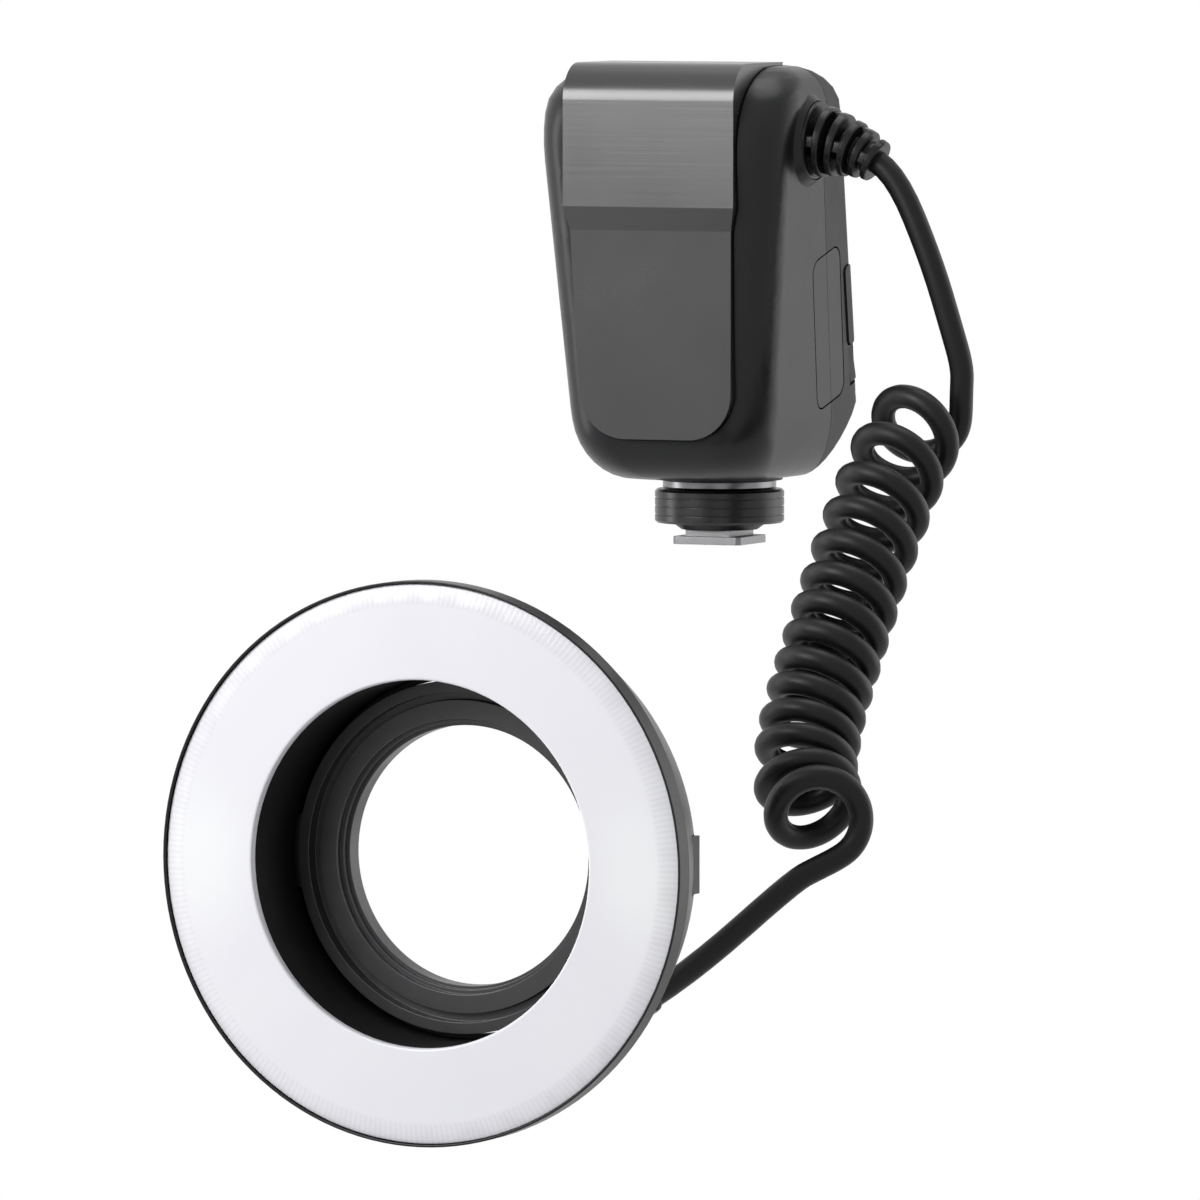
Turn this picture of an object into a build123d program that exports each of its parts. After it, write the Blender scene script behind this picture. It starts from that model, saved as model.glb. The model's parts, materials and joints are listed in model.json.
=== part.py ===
from build123d import *
import math
import os

# Macro ring flash: a control unit for a hot shoe, a ring head for a lens and the curly cord between them.
# The origin is the middle of the underside of the hot shoe foot. +X is the cord's side of the unit,
# -Y is the front, where the ring head shines, and +Z is up.

os.makedirs("parts", exist_ok=True)

# Fits
overrun = 5.0
running_gap = 0.3
snug_gap = 0.1
screw_gap = 0.05

# Control unit body: heights, half widths and where its front and rear faces lie
body_bottom_z = 17.0
body_top_z = 121.5
bottom_half_width = 26.6
top_half_width = 35.0
front_bottom_y = -38.7
front_top_y = -46.4
rear_corner_y = 26.3
rear_corner_z = 35.0
rear_top_y = -2.6
rear_bottom_y = 14.0
body_wall = 2.2

# Control unit body: how its edges are rounded
front_top_round = 24.0
rear_top_round = 9.0
side_top_round = 11.0
front_bottom_round = 14.0
side_bottom_run = 9.0
side_bottom_rise = 18.5
front_corner_round = 12.8
rear_corner_round = 4.5
least_corner_round = 0.8
round_steps = 9
front_corner_share = 0.45
rear_corner_share = 0.3

# Parting line between the two shells, seen from the side
parting_top_y = -12.7
parting_bend_y = -9.8
parting_bend_z = 92.0
parting_slope = 0.28

# Front panel
panel_half_width = 23.2
panel_low_half_width = 21.9
panel_foot_half_width = 20.3
panel_foot_z = 28.0
panel_foot_round = 12.0
panel_step_top_z = 86.3
panel_step_foot_z = 80.5
panel_upper_y = -45.8
panel_step_y = -44.2
panel_foot_y = -40.6
panel_top_z = 122.3
panel_top_round = 9.5
panel_rear_end_y = -14.0
panel_seat_depth = 1.2
panel_skin = 2.6
panel_groove = 0.4

# Battery, its bay and its contacts
battery_centre_z = 55.0
battery_thick = 17.0
battery_tall = 39.0
battery_round = 3.5
battery_end_x = -22.0
battery_cap_inner_x = 26.6
battery_pack_trim = 0.4
bay_gap = 0.35
bay_wall = 1.2
contact_thick = 1.2
contact_tall = 6.0
contact_pitch = 9.0
contact_count = 3

# Battery release, port cover, port and lamp at the rear edge of the cord's side
edge_margin = 2.4
release_across = 4.2
release_tall = 21.0
release_up = 28.5
release_round = 1.6
release_proud = 0.4
release_travel = 1.2
release_depth = 4.4
cover_across = 4.0
cover_tall = 9.6
cover_up = 12.2
cover_thick = 1.6
cover_inset_share = 0.1
port_across = 2.6
port_tall = 7.0
port_deep = 3.0
lamp_up = 4.2
lamp_radius = 0.8
lamp_deep = 2.6
lamp_round_share = 0.9

# Rear face: display
bezel_across = 52.0
bezel_tall = 34.0
bezel_up = 58.5
bezel_round = 2.5
bezel_proud = 0.6
window_across = 47.0
window_tall = 29.0
window_thick = 0.9
window_set_in = 0.5
window_round = 1.5
view_across = 44.0
view_tall = 26.0
module_across = 47.0
module_tall = 31.0
module_thick = 3.2

# Rear face: keys, dial and switch
key_wall_gap = 0.25
key_flange_edge = 0.6
key_flange_thick = 0.8
key_travel = 0.5
key_proud = 0.8
function_key_count = 4
function_key_across = 9.0
function_key_tall = 4.4
function_key_pitch = 12.2
function_key_up = 37.0
function_key_round = 1.2
side_key_across = 7.6
side_key_tall = 5.0
side_key_out = 19.6
side_key_up = 25.5
side_key_round = 1.5
test_radius = 3.4
low_key_up = 9.5
switch_across = 4.4
switch_tall = 5.6
switch_round = 1.0
switch_travel = 3.0
dial_up = 17.0
dial_radius = 14.6
dial_bore = 6.3
dial_skirt_radius = 7.6
dial_proud = 1.5
dial_thick = 3.5
dial_skirt_end = 4.4
dial_notches = 30
dial_notch_radius = 0.55
set_radius = 5.9
set_proud = 1.1
set_deep = 4.3
encoder_radius = 11.0
board_front = 5.0
board_thick = 1.6
button_board_across = 44.0
button_board_tall = 38.0
button_board_up = 22.0
main_board_across = 48.0
main_board_tall = 32.0
transformer_size = 12.0
transformer_tall = 9.0
transformer_out = 12.0

# Flash capacitor
capacitor_radius = 9.0
capacitor_long = 42.0
capacitor_z = 56.0
capacitor_crimp = 0.5
capacitor_crimp_in = 3.0

# Case screws and their posts
screw_radius = 1.0
screw_head_radius = 1.9
screw_head_tall = 1.4
screw_slot = 0.5
post_radius = 3.0
top_screw_out = 24.0
top_screw_up = 79.2
top_screw_long = 16.0
top_post_reach = 60.0
low_screw_out = 13.6
low_screw_z = 25.0
low_screw_long = 14.0
low_post_radius = 2.5
low_post_spare = 3.0

# Hot shoe foot, lock ring and neck
foot_across = 18.6
foot_long = 18.0
foot_thick = 2.0
foot_chamfer = 1.0
web_across = 12.2
web_long = 15.4
web_top_z = 3.6
cone_low_radius = 9.7
cone_high_radius = 11.6
cone_top_z = 5.0
stem_radius = 9.0
stem_flange_radius = 10.8
stem_flange_thick = 2.0
lock_ring_radius = 16.4
lock_ring_low_z = 5.3
lock_ring_high_z = 13.9
lock_ring_edge = 0.6
lock_ring_groove = 0.35
lock_ring_groove_count = 3
neck_radius = 14.4
neck_low_z = 14.2
neck_high_z = 16.2
flange_radius = 16.0
lock_pin_radius = 1.0
lock_pin_forward = 6.2
lock_pin_top_z = 11.0
lock_pin_travel = 1.5
foot_screw_out = 4.5
foot_screw_along = 5.9
foot_screw_radius = 0.8
foot_screw_head = 1.4
foot_screw_sink = 0.7
foot_screw_long = 9.0
centre_contact_radius = 1.2
small_contact_radius = 0.6
small_contact_out = 2.6
small_contact_along = 3.0
contact_proud = 0.4
contact_top_z = 3.0

# Cord, boots and where they stand
cord_diameter = 6.0
boot_y = -20.0
boot_z = 102.9
boot_droop = 2.0
boot_long = 19.0
boot_bend = 29.0
boot_base_radius = 10.0
boot_tip_radius = 5.7
boot_core_radius = 4.2
boot_rib_count = 5
boot_base_thick = 2.0
boot_rib_share = 0.5
boot_bridge_across = 3.0
boot_root = 3.4
boss_flare_radius = 13.0
boss_proud = 1.6

# Ring head
ring_drop = 68.0
ring_reach = 184.0
ring_face_wide = 23.9
ring_band = 6.0
ring_cone_in = 8.0
ring_depth = 30.0
ring_edge_chamfer = 0.8
casing_wall = 2.2
casing_lip = 0.6
casing_lip_back = 0.3
ledge_wide = 1.2
ledge_thick = 0.8
bore_room = 1.5
sleeve_wall = 1.5
sleeve_flange_wide = 2.5
sleeve_flange_thick = 1.0
diffuser_thick = 2.4
diffuser_bevel_run = 5.0
diffuser_bevel_drop = 1.3
diffuser_lip = 0.5
rear_cover_thick = 1.6
rear_cover_in = 1.7
tray_outer_gap = 0.1
tray_flare = 2.5
tray_inner_gap = 0.4
tray_skin = 0.8
tray_deep = 11.2
tube_side_gap = 1.1
tube_half_sweep = 62.0
tube_cap_long = 4.0
tube_cap_extra = 0.5
lamp_size = 3.4
lamp_tall = 1.6
lamp_margin = 0.3
lamp_half_angle = 6.0
ring_board_inner_gap = 0.5
ring_board_outer_gap = 2.9
ring_board_thick = 1.6

# Adapter ring in the head, with the thread for the lens
adapter_groove_deep = 1.7
adapter_front_in = 6.4
adapter_rim_wide = 1.2
adapter_groove_wide = 3.4
adapter_groove_floor = 1.1
adapter_rear_rim = 1.4
adapter_channel_wall = 2.0
adapter_channel_deep = 3.8
face_wide = 4.55
face_inner_gap = 0.15
face_step = 2.0
relief_step = 0.85
relief_start = 4.0
relief_end = 5.6
thread_wall = 1.75
thread_radius = 33.5
thread_relief_deep = 0.6
thread_relief_wide = 1.2
thread_long = 3.6
adapter_gap = 0.3

# Release sliders
slider_thick = 1.2
slider_between = 0.4
slider_room = 2.4
slider_end_gap = 1.0
slider_travel = 1.5
claw_tip_gap = 0.7
claw_half_angle = 10.0
claw_side_gap = 1.1
button_half_tall = 7.0
button_proud = 1.2
button_thick = 4.6
button_front_in = 9.6
button_back_gap = 0.4
guide_thick = 1.1
guide_edge = 0.9
guide_gap = 0.3
seat_in = 0.2
seat_thick = 1.4
seat_deep = 3.2
spring_radius = 1.3
spring_out = 4.0
boss_radius = 1.9
boss_in = 2.7
boss_front_in = 11.5
cover_screw_angles = (60, 120, 240, 300)

# Cord entry at the back of the ring head
entry_in = 4.2
entry_angle = 42.0
entry_root_radius = 3.3
entry_boot_radius = 4.4
entry_boot_tip_radius = 3.9
entry_boot_long = 12.0
entry_boot_bend = 40.0
entry_bend_towards = 42.6
entry_base_thick = 1.5
entry_rib_count = 3

# Curly part of the cord: its turns, and how its axis runs. Each row is a count of turns and a value there
coil_turns = 14.1875
coil_mean_radius = 10.0
coil_start = (64.3, -18.0, 34.5)
coil_swells = ((0.0, 0.86), (1.0, 1.0), (14.1875, 1.0))
coil_pitches = ((0.0, 11.3), (4.0, 9.9), (8.0, 6.9), (11.0, 6.8), (14.1875, 7.8))
coil_tilts = ((0.0, 15.1), (1.5, 39.4), (3.0, 49.5), (6.0, 52.8), (9.0, 59.1), (11.5, 52.6), (13.0, 33.3),
              (14.1875, 6.0))
coil_yaws = ((0.0, 3.9), (1.5, -1.3), (3.0, -4.1), (6.0, -3.2), (9.0, -7.9), (11.5, 12.2), (13.0, 40.0),
             (14.1875, 29.6))
coil_steps_per_turn = 48
arc_points_per_turn = 4
least_turn = 1e-9

# Free stretches of the cord: how far each runs straight on from its ends, and the points between them
bend_share = 0.45
upper_run_out = 6.0
upper_run_in = 6.0
lower_run_out = 6.0
lower_run_in = 14.0
upper_lead_points = ((66.2, -20.0, 72.8), (71.2, -19.0, 55.9))

# Worked-out radii, from the lens thread outwards to the edge of the head
face_inner_radius = thread_radius + face_inner_gap
face_outer_radius = face_inner_radius + face_wide
adapter_channel_radius = face_outer_radius + adapter_channel_wall
adapter_groove_radius = adapter_channel_radius + adapter_groove_floor
adapter_radius = adapter_groove_radius + adapter_groove_deep
adapter_bore_radius = thread_radius - thread_wall
relief_radius = adapter_bore_radius + relief_step
thread_relief_radius = thread_radius - thread_relief_deep
bore_radius = adapter_radius + bore_room
sleeve_radius = bore_radius + sleeve_wall
sleeve_flange_radius = sleeve_radius + sleeve_flange_wide
ring_radius = bore_radius + ring_face_wide
ring_cone_radius = ring_radius - ring_cone_in
rear_cover_radius = ring_cone_radius - rear_cover_in
boss_ring_radius = rear_cover_radius - boss_in
entry_radius = rear_cover_radius - entry_in
ledge_inner_radius = ring_radius - casing_wall - ledge_wide
tray_outer_radius = ledge_inner_radius - tray_outer_gap
tray_floor_radius = tray_outer_radius - tray_flare
tray_inner_radius = sleeve_flange_radius + tray_inner_gap
ring_board_inner = tray_inner_radius + ring_board_inner_gap
ring_board_outer = tray_floor_radius - ring_board_outer_gap
lamp_ring_radius = tray_floor_radius - tray_skin - lamp_margin - lamp_size / 2
tube_room = lamp_ring_radius - lamp_size / 2 - tray_inner_radius - tray_skin
tube_ring_radius = tray_inner_radius + tray_skin + tube_room / 2
tube_radius = tube_room / 2 - tube_side_gap - tube_cap_extra
claw_radius = adapter_groove_radius + claw_tip_gap
button_outer_radius = ring_cone_radius + button_proud
button_inner_radius = button_outer_radius - button_thick
slider_inner_radius = sleeve_radius + slider_room
slider_outer_radius = button_inner_radius - slider_travel * 2 - slider_end_gap
guide_outer_radius = slider_outer_radius + guide_edge
seat_inner_radius = slider_inner_radius + seat_in

# Worked-out depths behind the front of the head, from its back
adapter_front_depth = ring_depth - adapter_front_in
face_depth = adapter_front_depth + face_step
relief_depth = adapter_front_depth + relief_start
relief_end_depth = adapter_front_depth + relief_end
button_front_depth = ring_depth - button_front_in
boss_front_depth = ring_depth - boss_front_in

# Worked-out places
ring_axis_z = -ring_drop
ring_front_y = -ring_reach
body_height = body_top_z - body_bottom_z
rear_slope = (rear_corner_y - rear_top_y) / (body_top_z - rear_corner_z)
rear_lean = math.degrees(math.atan(rear_slope))
parting_lean = math.degrees(math.atan(parting_slope))
cord_radius = cord_diameter / 2
rear_normal = (0, math.cos(math.radians(rear_lean)), math.sin(math.radians(rear_lean)))
rear_face = Plane(origin=(0, rear_corner_y, rear_corner_z), x_dir=(-1, 0, 0), z_dir=rear_normal)
ring_frame = Plane(origin=(0, ring_front_y, ring_axis_z), x_dir=(1, 0, 0), z_dir=(0, 1, 0))
cover_front_depth = ring_depth - rear_cover_thick
cone_fall = (ring_radius - ring_cone_radius) / (cover_front_depth - ring_band)


def write(name, shape):
    """Write one piece under its name."""
    export_step(shape, f"parts/{name}.step")


def between(low, high, share):
    """The value that lies this share of the way from low to high."""
    return low + (high - low) * share


def upright(x, y, low, high, radius):
    """A round bar along Z."""
    return Pos(x, y, low) * extrude(Circle(radius), high - low)


def joined(shapes):
    """All the shapes of a list as one."""
    total = shapes[0]
    for shape in shapes[1:]:
        total = total + shape
    return total


# Outer form of the control unit

def round_inset(depth, run, rise):
    """How far a rounded edge stands in, at this depth into its rise."""
    part = min(max(depth / rise, 0), 1)
    return run * (1 - math.sqrt(1 - part * part))


def rear_y(z):
    """Y of the flat rear face at this height."""
    return rear_corner_y - rear_slope * (z - rear_corner_z)


def parting_y(z):
    """Y of the parting line at this height."""
    if z < parting_bend_z:
        return parting_bend_y + parting_slope * (parting_bend_z - z)
    return between(parting_bend_y, parting_top_y, (z - parting_bend_z) / (body_top_z - parting_bend_z))


def body_outline(z):
    """Half width, front Y and rear Y of the body at this height."""
    share = (z - body_bottom_z) / body_height
    half = between(bottom_half_width, top_half_width, share)
    half -= round_inset(body_bottom_z + side_bottom_rise - z, side_bottom_run, side_bottom_rise)
    half -= round_inset(z - body_top_z + side_top_round, side_top_round, side_top_round)
    front = between(front_bottom_y, front_top_y, share)
    front += round_inset(body_bottom_z + front_bottom_round - z, front_bottom_round, front_bottom_round)
    front += round_inset(z - body_top_z + front_top_round, front_top_round, front_top_round)
    low_share = (z - body_bottom_z) / (rear_corner_z - body_bottom_z)
    rear = min(rear_y(z), between(rear_bottom_y, rear_corner_y, low_share))
    rear -= round_inset(z - body_top_z + rear_top_round, rear_top_round, rear_top_round)
    return half, front, rear


def body_levels():
    """Heights of the body's sections, closest together where its edges are rounded."""
    angles = [math.radians(90 * step / round_steps) for step in range(round_steps + 1)]
    low = [body_bottom_z + side_bottom_rise * (1 - math.cos(angle)) for angle in angles]
    high_start = body_top_z - front_top_round
    high = [high_start + front_top_round * math.sin(angle) for angle in angles]
    return low + high


def body_section(z, inset):
    """One level section of the body, drawn in by inset."""
    half, front, rear = body_outline(z)
    half -= inset
    front += inset
    rear -= inset
    deep = rear - front
    front_round = max(min(front_corner_round - inset, deep * front_corner_share), least_corner_round)
    rear_round = max(min(rear_corner_round - inset, deep * rear_corner_share), least_corner_round)
    level = between(body_bottom_z + inset, body_top_z - inset, (z - body_bottom_z) / body_height)
    diagonal = 1 - math.sqrt(0.5)
    front_in = front_round * diagonal
    rear_in = rear_round * diagonal
    edges = [
        Line((-half + front_round, front), (half - front_round, front)),
        ThreePointArc((half - front_round, front), (half - front_in, front + front_in),
                      (half, front + front_round)),
        Line((half, front + front_round), (half, rear - rear_round)),
        ThreePointArc((half, rear - rear_round), (half - rear_in, rear - rear_in), (half - rear_round, rear)),
        Line((half - rear_round, rear), (-half + rear_round, rear)),
        ThreePointArc((-half + rear_round, rear), (-half + rear_in, rear - rear_in), (-half, rear - rear_round)),
        Line((-half, rear - rear_round), (-half, front + front_round)),
        ThreePointArc((-half, front + front_round), (-half + front_in, front + front_in),
                      (-half + front_round, front)),
    ]
    return Pos(0, 0, level) * make_face(Curve() + edges)


def body_block(inset):
    """The body as a solid block, drawn in by inset."""
    return loft([body_section(z, inset) for z in body_levels()], ruled=True)


def side_prism(points, half_width):
    """A prism across the whole body from an outline seen from the side, given as Y and Z."""
    face = make_face(Plane.YZ * Polyline(*points, close=True))
    return extrude(face, half_width, both=True)


def front_region():
    """Everything in front of the parting line."""
    far_y = front_top_y - overrun * 2
    high_z = body_top_z + overrun
    low_z = body_bottom_z - overrun
    points = [
        (far_y, low_z),
        (parting_y(low_z), low_z),
        (parting_bend_y, parting_bend_z),
        (parting_top_y, body_top_z),
        (parting_top_y, high_z),
        (far_y, high_z),
    ]
    return side_prism(points, top_half_width + overrun * 4)


# Front panel and its seat

def panel_prism(grow):
    """The panel's outline seen from the front, carried through the whole front."""
    high_z = body_top_z + overrun
    right = [
        (panel_half_width + grow, high_z),
        (panel_half_width + grow, panel_step_top_z),
        (panel_low_half_width + grow, panel_step_foot_z),
        (panel_foot_half_width + grow, panel_foot_z - grow),
    ]
    left = [(-x, z) for x, z in reversed(right)]
    corner = panel_foot_round + grow
    outline = FilletPolyline(*right, *left, radius=[panel_foot_round, panel_foot_round, corner, corner,
                                                    panel_foot_round, panel_foot_round], close=False)
    lid = Line(left[-1], right[0])
    face = make_face(Plane.XZ * (outline + lid))
    deep = panel_rear_end_y - front_top_y + overrun
    return Pos(0, panel_rear_end_y, 0) * extrude(face, deep, dir=(0, -1, 0))


def seat_region():
    """What lies inside the seat of the panel, seen from the side."""
    low_z = body_bottom_z - overrun
    low_share = (low_z - body_bottom_z) / body_height
    high_z = body_top_z - panel_seat_depth
    high_share = (high_z - body_bottom_z) / body_height
    low_y = between(front_bottom_y, front_top_y, low_share) + panel_seat_depth
    high_y = between(front_bottom_y, front_top_y, high_share) + panel_seat_depth
    front = FilletPolyline((low_y, low_z), (high_y, high_z), (0, high_z), radius=front_top_round - panel_seat_depth)
    rest = Polyline((0, high_z), (0, low_z), (low_y, low_z))
    return extrude(make_face(Plane.YZ * (front + rest)), top_half_width + overrun, both=True)


def panel_region(inset):
    """What lies inside the panel's outer face, seen from the side, drawn in by inset."""
    low_z = panel_foot_z - overrun
    fall = (panel_foot_y - panel_step_y) / (panel_step_foot_z - panel_foot_z)
    high_z = panel_top_z - inset
    points = [
        (panel_foot_y + fall * overrun + inset, low_z),
        (panel_step_y + inset, panel_step_foot_z),
        (panel_upper_y + inset, panel_step_top_z),
        (panel_upper_y + inset, high_z),
        (0, high_z),
    ]
    small_round = panel_seat_depth
    front = FilletPolyline(*points, radius=[small_round, small_round, panel_top_round - inset])
    rest = Polyline((0, high_z), (0, low_z), points[0])
    return extrude(make_face(Plane.YZ * (front + rest)), top_half_width + overrun, both=True)


def front_panel():
    """The panel over the front and the top, hollow where it stands far off the shell."""
    skin = panel_prism(0) & panel_region(0)
    hollow = panel_prism(-panel_skin) & panel_region(panel_skin)
    return skin - seat_region() - hollow


def panel_recess():
    """The recess in the front shell that the panel sits in, with the groove round it."""
    return panel_prism(panel_groove) - seat_region()


# Battery

battery_centre_y = parting_y(battery_centre_z)
battery_across = (0, math.cos(math.radians(parting_lean)), math.sin(math.radians(parting_lean)))


def battery_prism(grow, low_x, high_x):
    """The battery's leaning section, grown all round, from one X to another."""
    frame = Plane(origin=(low_x, battery_centre_y, battery_centre_z), x_dir=battery_across, z_dir=(1, 0, 0))
    outline = RectangleRounded(battery_thick + grow * 2, battery_tall + grow * 2, battery_round + grow)
    return frame.location * extrude(outline, high_x - low_x)


def battery_opening():
    """The opening in the side for the battery."""
    return battery_prism(bay_gap, battery_cap_inner_x - overrun, top_half_width + overrun)


def battery_cap(block):
    """The visible end of the battery, level with the side of the body."""
    return battery_prism(0, battery_cap_inner_x, top_half_width + overrun) & block


def battery_pack():
    """The battery itself."""
    return battery_prism(-battery_pack_trim, battery_end_x, battery_cap_inner_x)


def battery_bay(inner):
    """The open-ended box that guides the battery, out to the inner side of the shell."""
    end_x = battery_end_x - bay_gap
    box = battery_prism(bay_gap + bay_wall, end_x - bay_wall, top_half_width)
    room = battery_prism(bay_gap, end_x, top_half_width + overrun)
    return (box & inner) - room - contact_slots(0)


def contact_slots(trim):
    """The row of contact blades through the bay's end, or the slots for them."""
    frame = Plane(origin=(battery_end_x, battery_centre_y, battery_centre_z), x_dir=battery_across,
                  z_dir=(-1, 0, 0))
    blades = []
    for index in range(contact_count):
        along = (index - (contact_count - 1) / 2) * contact_pitch
        blade = extrude(Rectangle(contact_thick - trim, contact_tall - trim), bay_gap + bay_wall + contact_thick)
        blades.append(frame.location * Pos(0, along, bay_gap / 2) * blade)
    return Compound(blades)


# Pieces on the rear face

def rear_block(out, up, low, high, across, tall, rounding):
    """A block with rounded corners on the rear face, from one height over the face to another."""
    return rear_face.location * Pos(out, up, low) * extrude(RectangleRounded(across, tall, rounding), high - low)


def rear_disc(out, up, low, high, radius):
    """A disc on the rear face, from one height over the face to another."""
    return rear_face.location * Pos(out, up, low) * extrude(Circle(radius), high - low)


def key(out, up, across, tall, rounding):
    """A key with the flange that keeps it in the shell."""
    flange_high = -body_wall - running_gap
    flange_low = flange_high - key_flange_thick
    edge = key_flange_edge * 2
    cap = rear_block(out, up, flange_low, key_proud, across, tall, rounding)
    flange = rear_block(out, up, flange_low, flange_high, across + edge, tall + edge, rounding)
    return cap + flange


def key_hole(out, up, across, tall, rounding):
    """The hole in the shell for a key."""
    grow = key_wall_gap * 2
    return rear_block(out, up, -body_wall * 2, overrun, across + grow, tall + grow, rounding + key_wall_gap)


def function_key_out(index):
    """Where a function key lies across the rear face."""
    return ((function_key_count - 1) / 2 - index) * function_key_pitch


def display_bezel():
    """The frame round the display, with a rebate for the window."""
    frame = rear_block(0, bezel_up, -body_wall, bezel_proud, bezel_across, bezel_tall, bezel_round)
    rebate_low = bezel_proud - window_set_in - window_thick
    grow = snug_gap
    rebate = rear_block(0, bezel_up, rebate_low, bezel_proud + overrun, window_across + grow, window_tall + grow,
                        window_round)
    view = rear_block(0, bezel_up, -body_wall - overrun, overrun, view_across, view_tall, window_round)
    return frame - rebate - view


def display_window():
    """The clear plate in the rebate."""
    high = bezel_proud - window_set_in
    return rear_block(0, bezel_up, high - window_thick, high, window_across, window_tall, window_round)


def display_module():
    """The display behind its frame."""
    low = -body_wall - module_thick
    return rear_block(0, bezel_up, low, -body_wall, module_across, module_tall, window_round)


def main_circuit_board():
    """The main board, flat against the back of the display."""
    high = -body_wall - module_thick
    return rear_block(0, bezel_up, high - board_thick, high, main_board_across, main_board_tall, bezel_round)


def transformer():
    """The step-up transformer on the main board."""
    high = -body_wall - module_thick - board_thick
    return rear_block(transformer_out, bezel_up, high - transformer_tall, high, transformer_size,
                      transformer_size, bezel_round)


def button_board():
    """The board under the keys and the dial."""
    return rear_block(0, button_board_up, -board_front - board_thick, -board_front, button_board_across,
                      button_board_tall, bezel_round)


def dial_encoder():
    """The fixed ring on the button board that the dial turns in."""
    bore = dial_skirt_radius + running_gap
    high = -dial_thick + dial_proud - running_gap * 2
    ring = rear_disc(0, dial_up, -board_front, high, encoder_radius)
    return ring - rear_disc(0, dial_up, -board_front, high, bore)


def select_dial():
    """The dial, notched round its edge, with a skirt that runs in the encoder."""
    disc_low = dial_proud - dial_thick
    disc = rear_disc(0, dial_up, disc_low, dial_proud, dial_radius)
    skirt = rear_disc(0, dial_up, -dial_skirt_end, dial_proud, dial_skirt_radius)
    notches = []
    for index in range(dial_notches):
        angle = math.radians(360 * index / dial_notches)
        out = dial_radius * math.cos(angle)
        up = dial_up + dial_radius * math.sin(angle)
        notches.append(rear_disc(out, up, 0, dial_proud + overrun, dial_notch_radius))
    bore = rear_disc(0, dial_up, -dial_skirt_end - overrun, dial_proud + overrun, dial_bore)
    return disc + skirt - Compound(notches) - bore


def set_button():
    """The button inside the dial."""
    return rear_disc(0, dial_up, -set_deep, set_proud, set_radius)


def test_button():
    """The round test button, with its flange."""
    flange_high = -body_wall - running_gap
    cap = rear_disc(side_key_out, low_key_up, flange_high - key_flange_thick, key_proud, test_radius)
    flange = rear_disc(side_key_out, low_key_up, flange_high - key_flange_thick, flange_high,
                       test_radius + key_flange_edge)
    return cap + flange


def power_switch():
    """The sliding power switch, drawn in its lower place, with its flange."""
    flange_high = -body_wall - running_gap
    flange_low = flange_high - key_flange_thick
    up = low_key_up - switch_travel / 2
    edge = key_flange_edge * 2
    knob = rear_block(-side_key_out, up, flange_low, key_proud, switch_across, switch_tall, switch_round)
    flange = rear_block(-side_key_out, up, flange_low, flange_high, switch_across + edge, switch_tall + edge,
                        switch_round)
    return knob + flange


def rear_openings():
    """All the openings of the rear face."""
    grow = snug_gap * 2
    holes = [
        rear_block(0, bezel_up, -body_wall * 2, overrun, bezel_across + grow, bezel_tall + grow, bezel_round),
        rear_disc(0, dial_up, -body_wall * 2, overrun, dial_radius + running_gap),
        rear_disc(side_key_out, low_key_up, -body_wall * 2, overrun, test_radius + key_wall_gap),
        key_hole(-side_key_out, low_key_up, switch_across, switch_tall + switch_travel, switch_round),
        key_hole(side_key_out, side_key_up, side_key_across, side_key_tall, side_key_round),
        key_hole(-side_key_out, side_key_up, side_key_across, side_key_tall, side_key_round),
    ]
    for index in range(function_key_count):
        holes.append(key_hole(function_key_out(index), function_key_up, function_key_across,
                              function_key_tall, function_key_round))
    return Compound(holes)


# Pieces at the rear edge of the cord's side

def edge_prism(up, across, tall, rounding, low_x, high_x):
    """A leaning section near the rear edge, from one X to another."""
    in_from_rear = -edge_margin - across / 2
    centre = rear_face.from_local_coords(Vector(0, up, in_from_rear))
    frame = Plane(origin=(low_x, centre.Y, centre.Z), x_dir=rear_normal, z_dir=(1, 0, 0))
    return frame.location * extrude(RectangleRounded(across, tall, rounding), high_x - low_x)


def edge_side_x(up, inset):
    """X of the body's side at this height along the rear edge, drawn in by inset."""
    centre = rear_face.from_local_coords(Vector(0, up, 0))
    return body_outline(centre.Z)[0] - inset


def battery_release(proud_block):
    """The push pad that frees the battery, a little proud of the side."""
    low_x = edge_side_x(release_up, release_depth)
    return edge_prism(release_up, release_across, release_tall, release_round, low_x,
                      top_half_width + overrun) & proud_block


def release_hole():
    """The hole for the release pad."""
    grow = running_gap * 2
    low_x = edge_side_x(release_up, release_depth + overrun)
    return edge_prism(release_up, release_across + grow, release_tall + grow, release_round + running_gap,
                      low_x, top_half_width + overrun)


def port_frame():
    """The port cover's own frame: its middle on the side face, X across, Y up along the edge, Z out."""
    in_from_rear = -edge_margin - cover_across / 2
    centre = rear_face.from_local_coords(Vector(0, cover_up, in_from_rear))
    side_x = edge_side_x(cover_up, rear_corner_round * cover_inset_share)
    return Plane(origin=(side_x, centre.Y, centre.Z), x_dir=rear_normal, z_dir=(1, 0, 0))


def port_cover():
    """The hinged cover over the port, rounded about its hinge at the lower end."""
    half = cover_tall / 2
    turn = cover_thick / 2
    plate = extrude(Pos(0, turn / 2) * Rectangle(cover_across, cover_tall - turn), -cover_thick)
    barrel = Pos(0, -half + turn, -turn) * Rot(0, 90, 0) * Cylinder(turn, cover_across)
    return port_frame().location * (plate + barrel)


def port_recess():
    """The recess for the port cover."""
    grow = running_gap * 2
    deep = cover_thick + running_gap
    well = extrude(Rectangle(cover_across + grow, cover_tall + grow), deep + overrun)
    return port_frame().location * Pos(0, 0, -deep) * well


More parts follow.
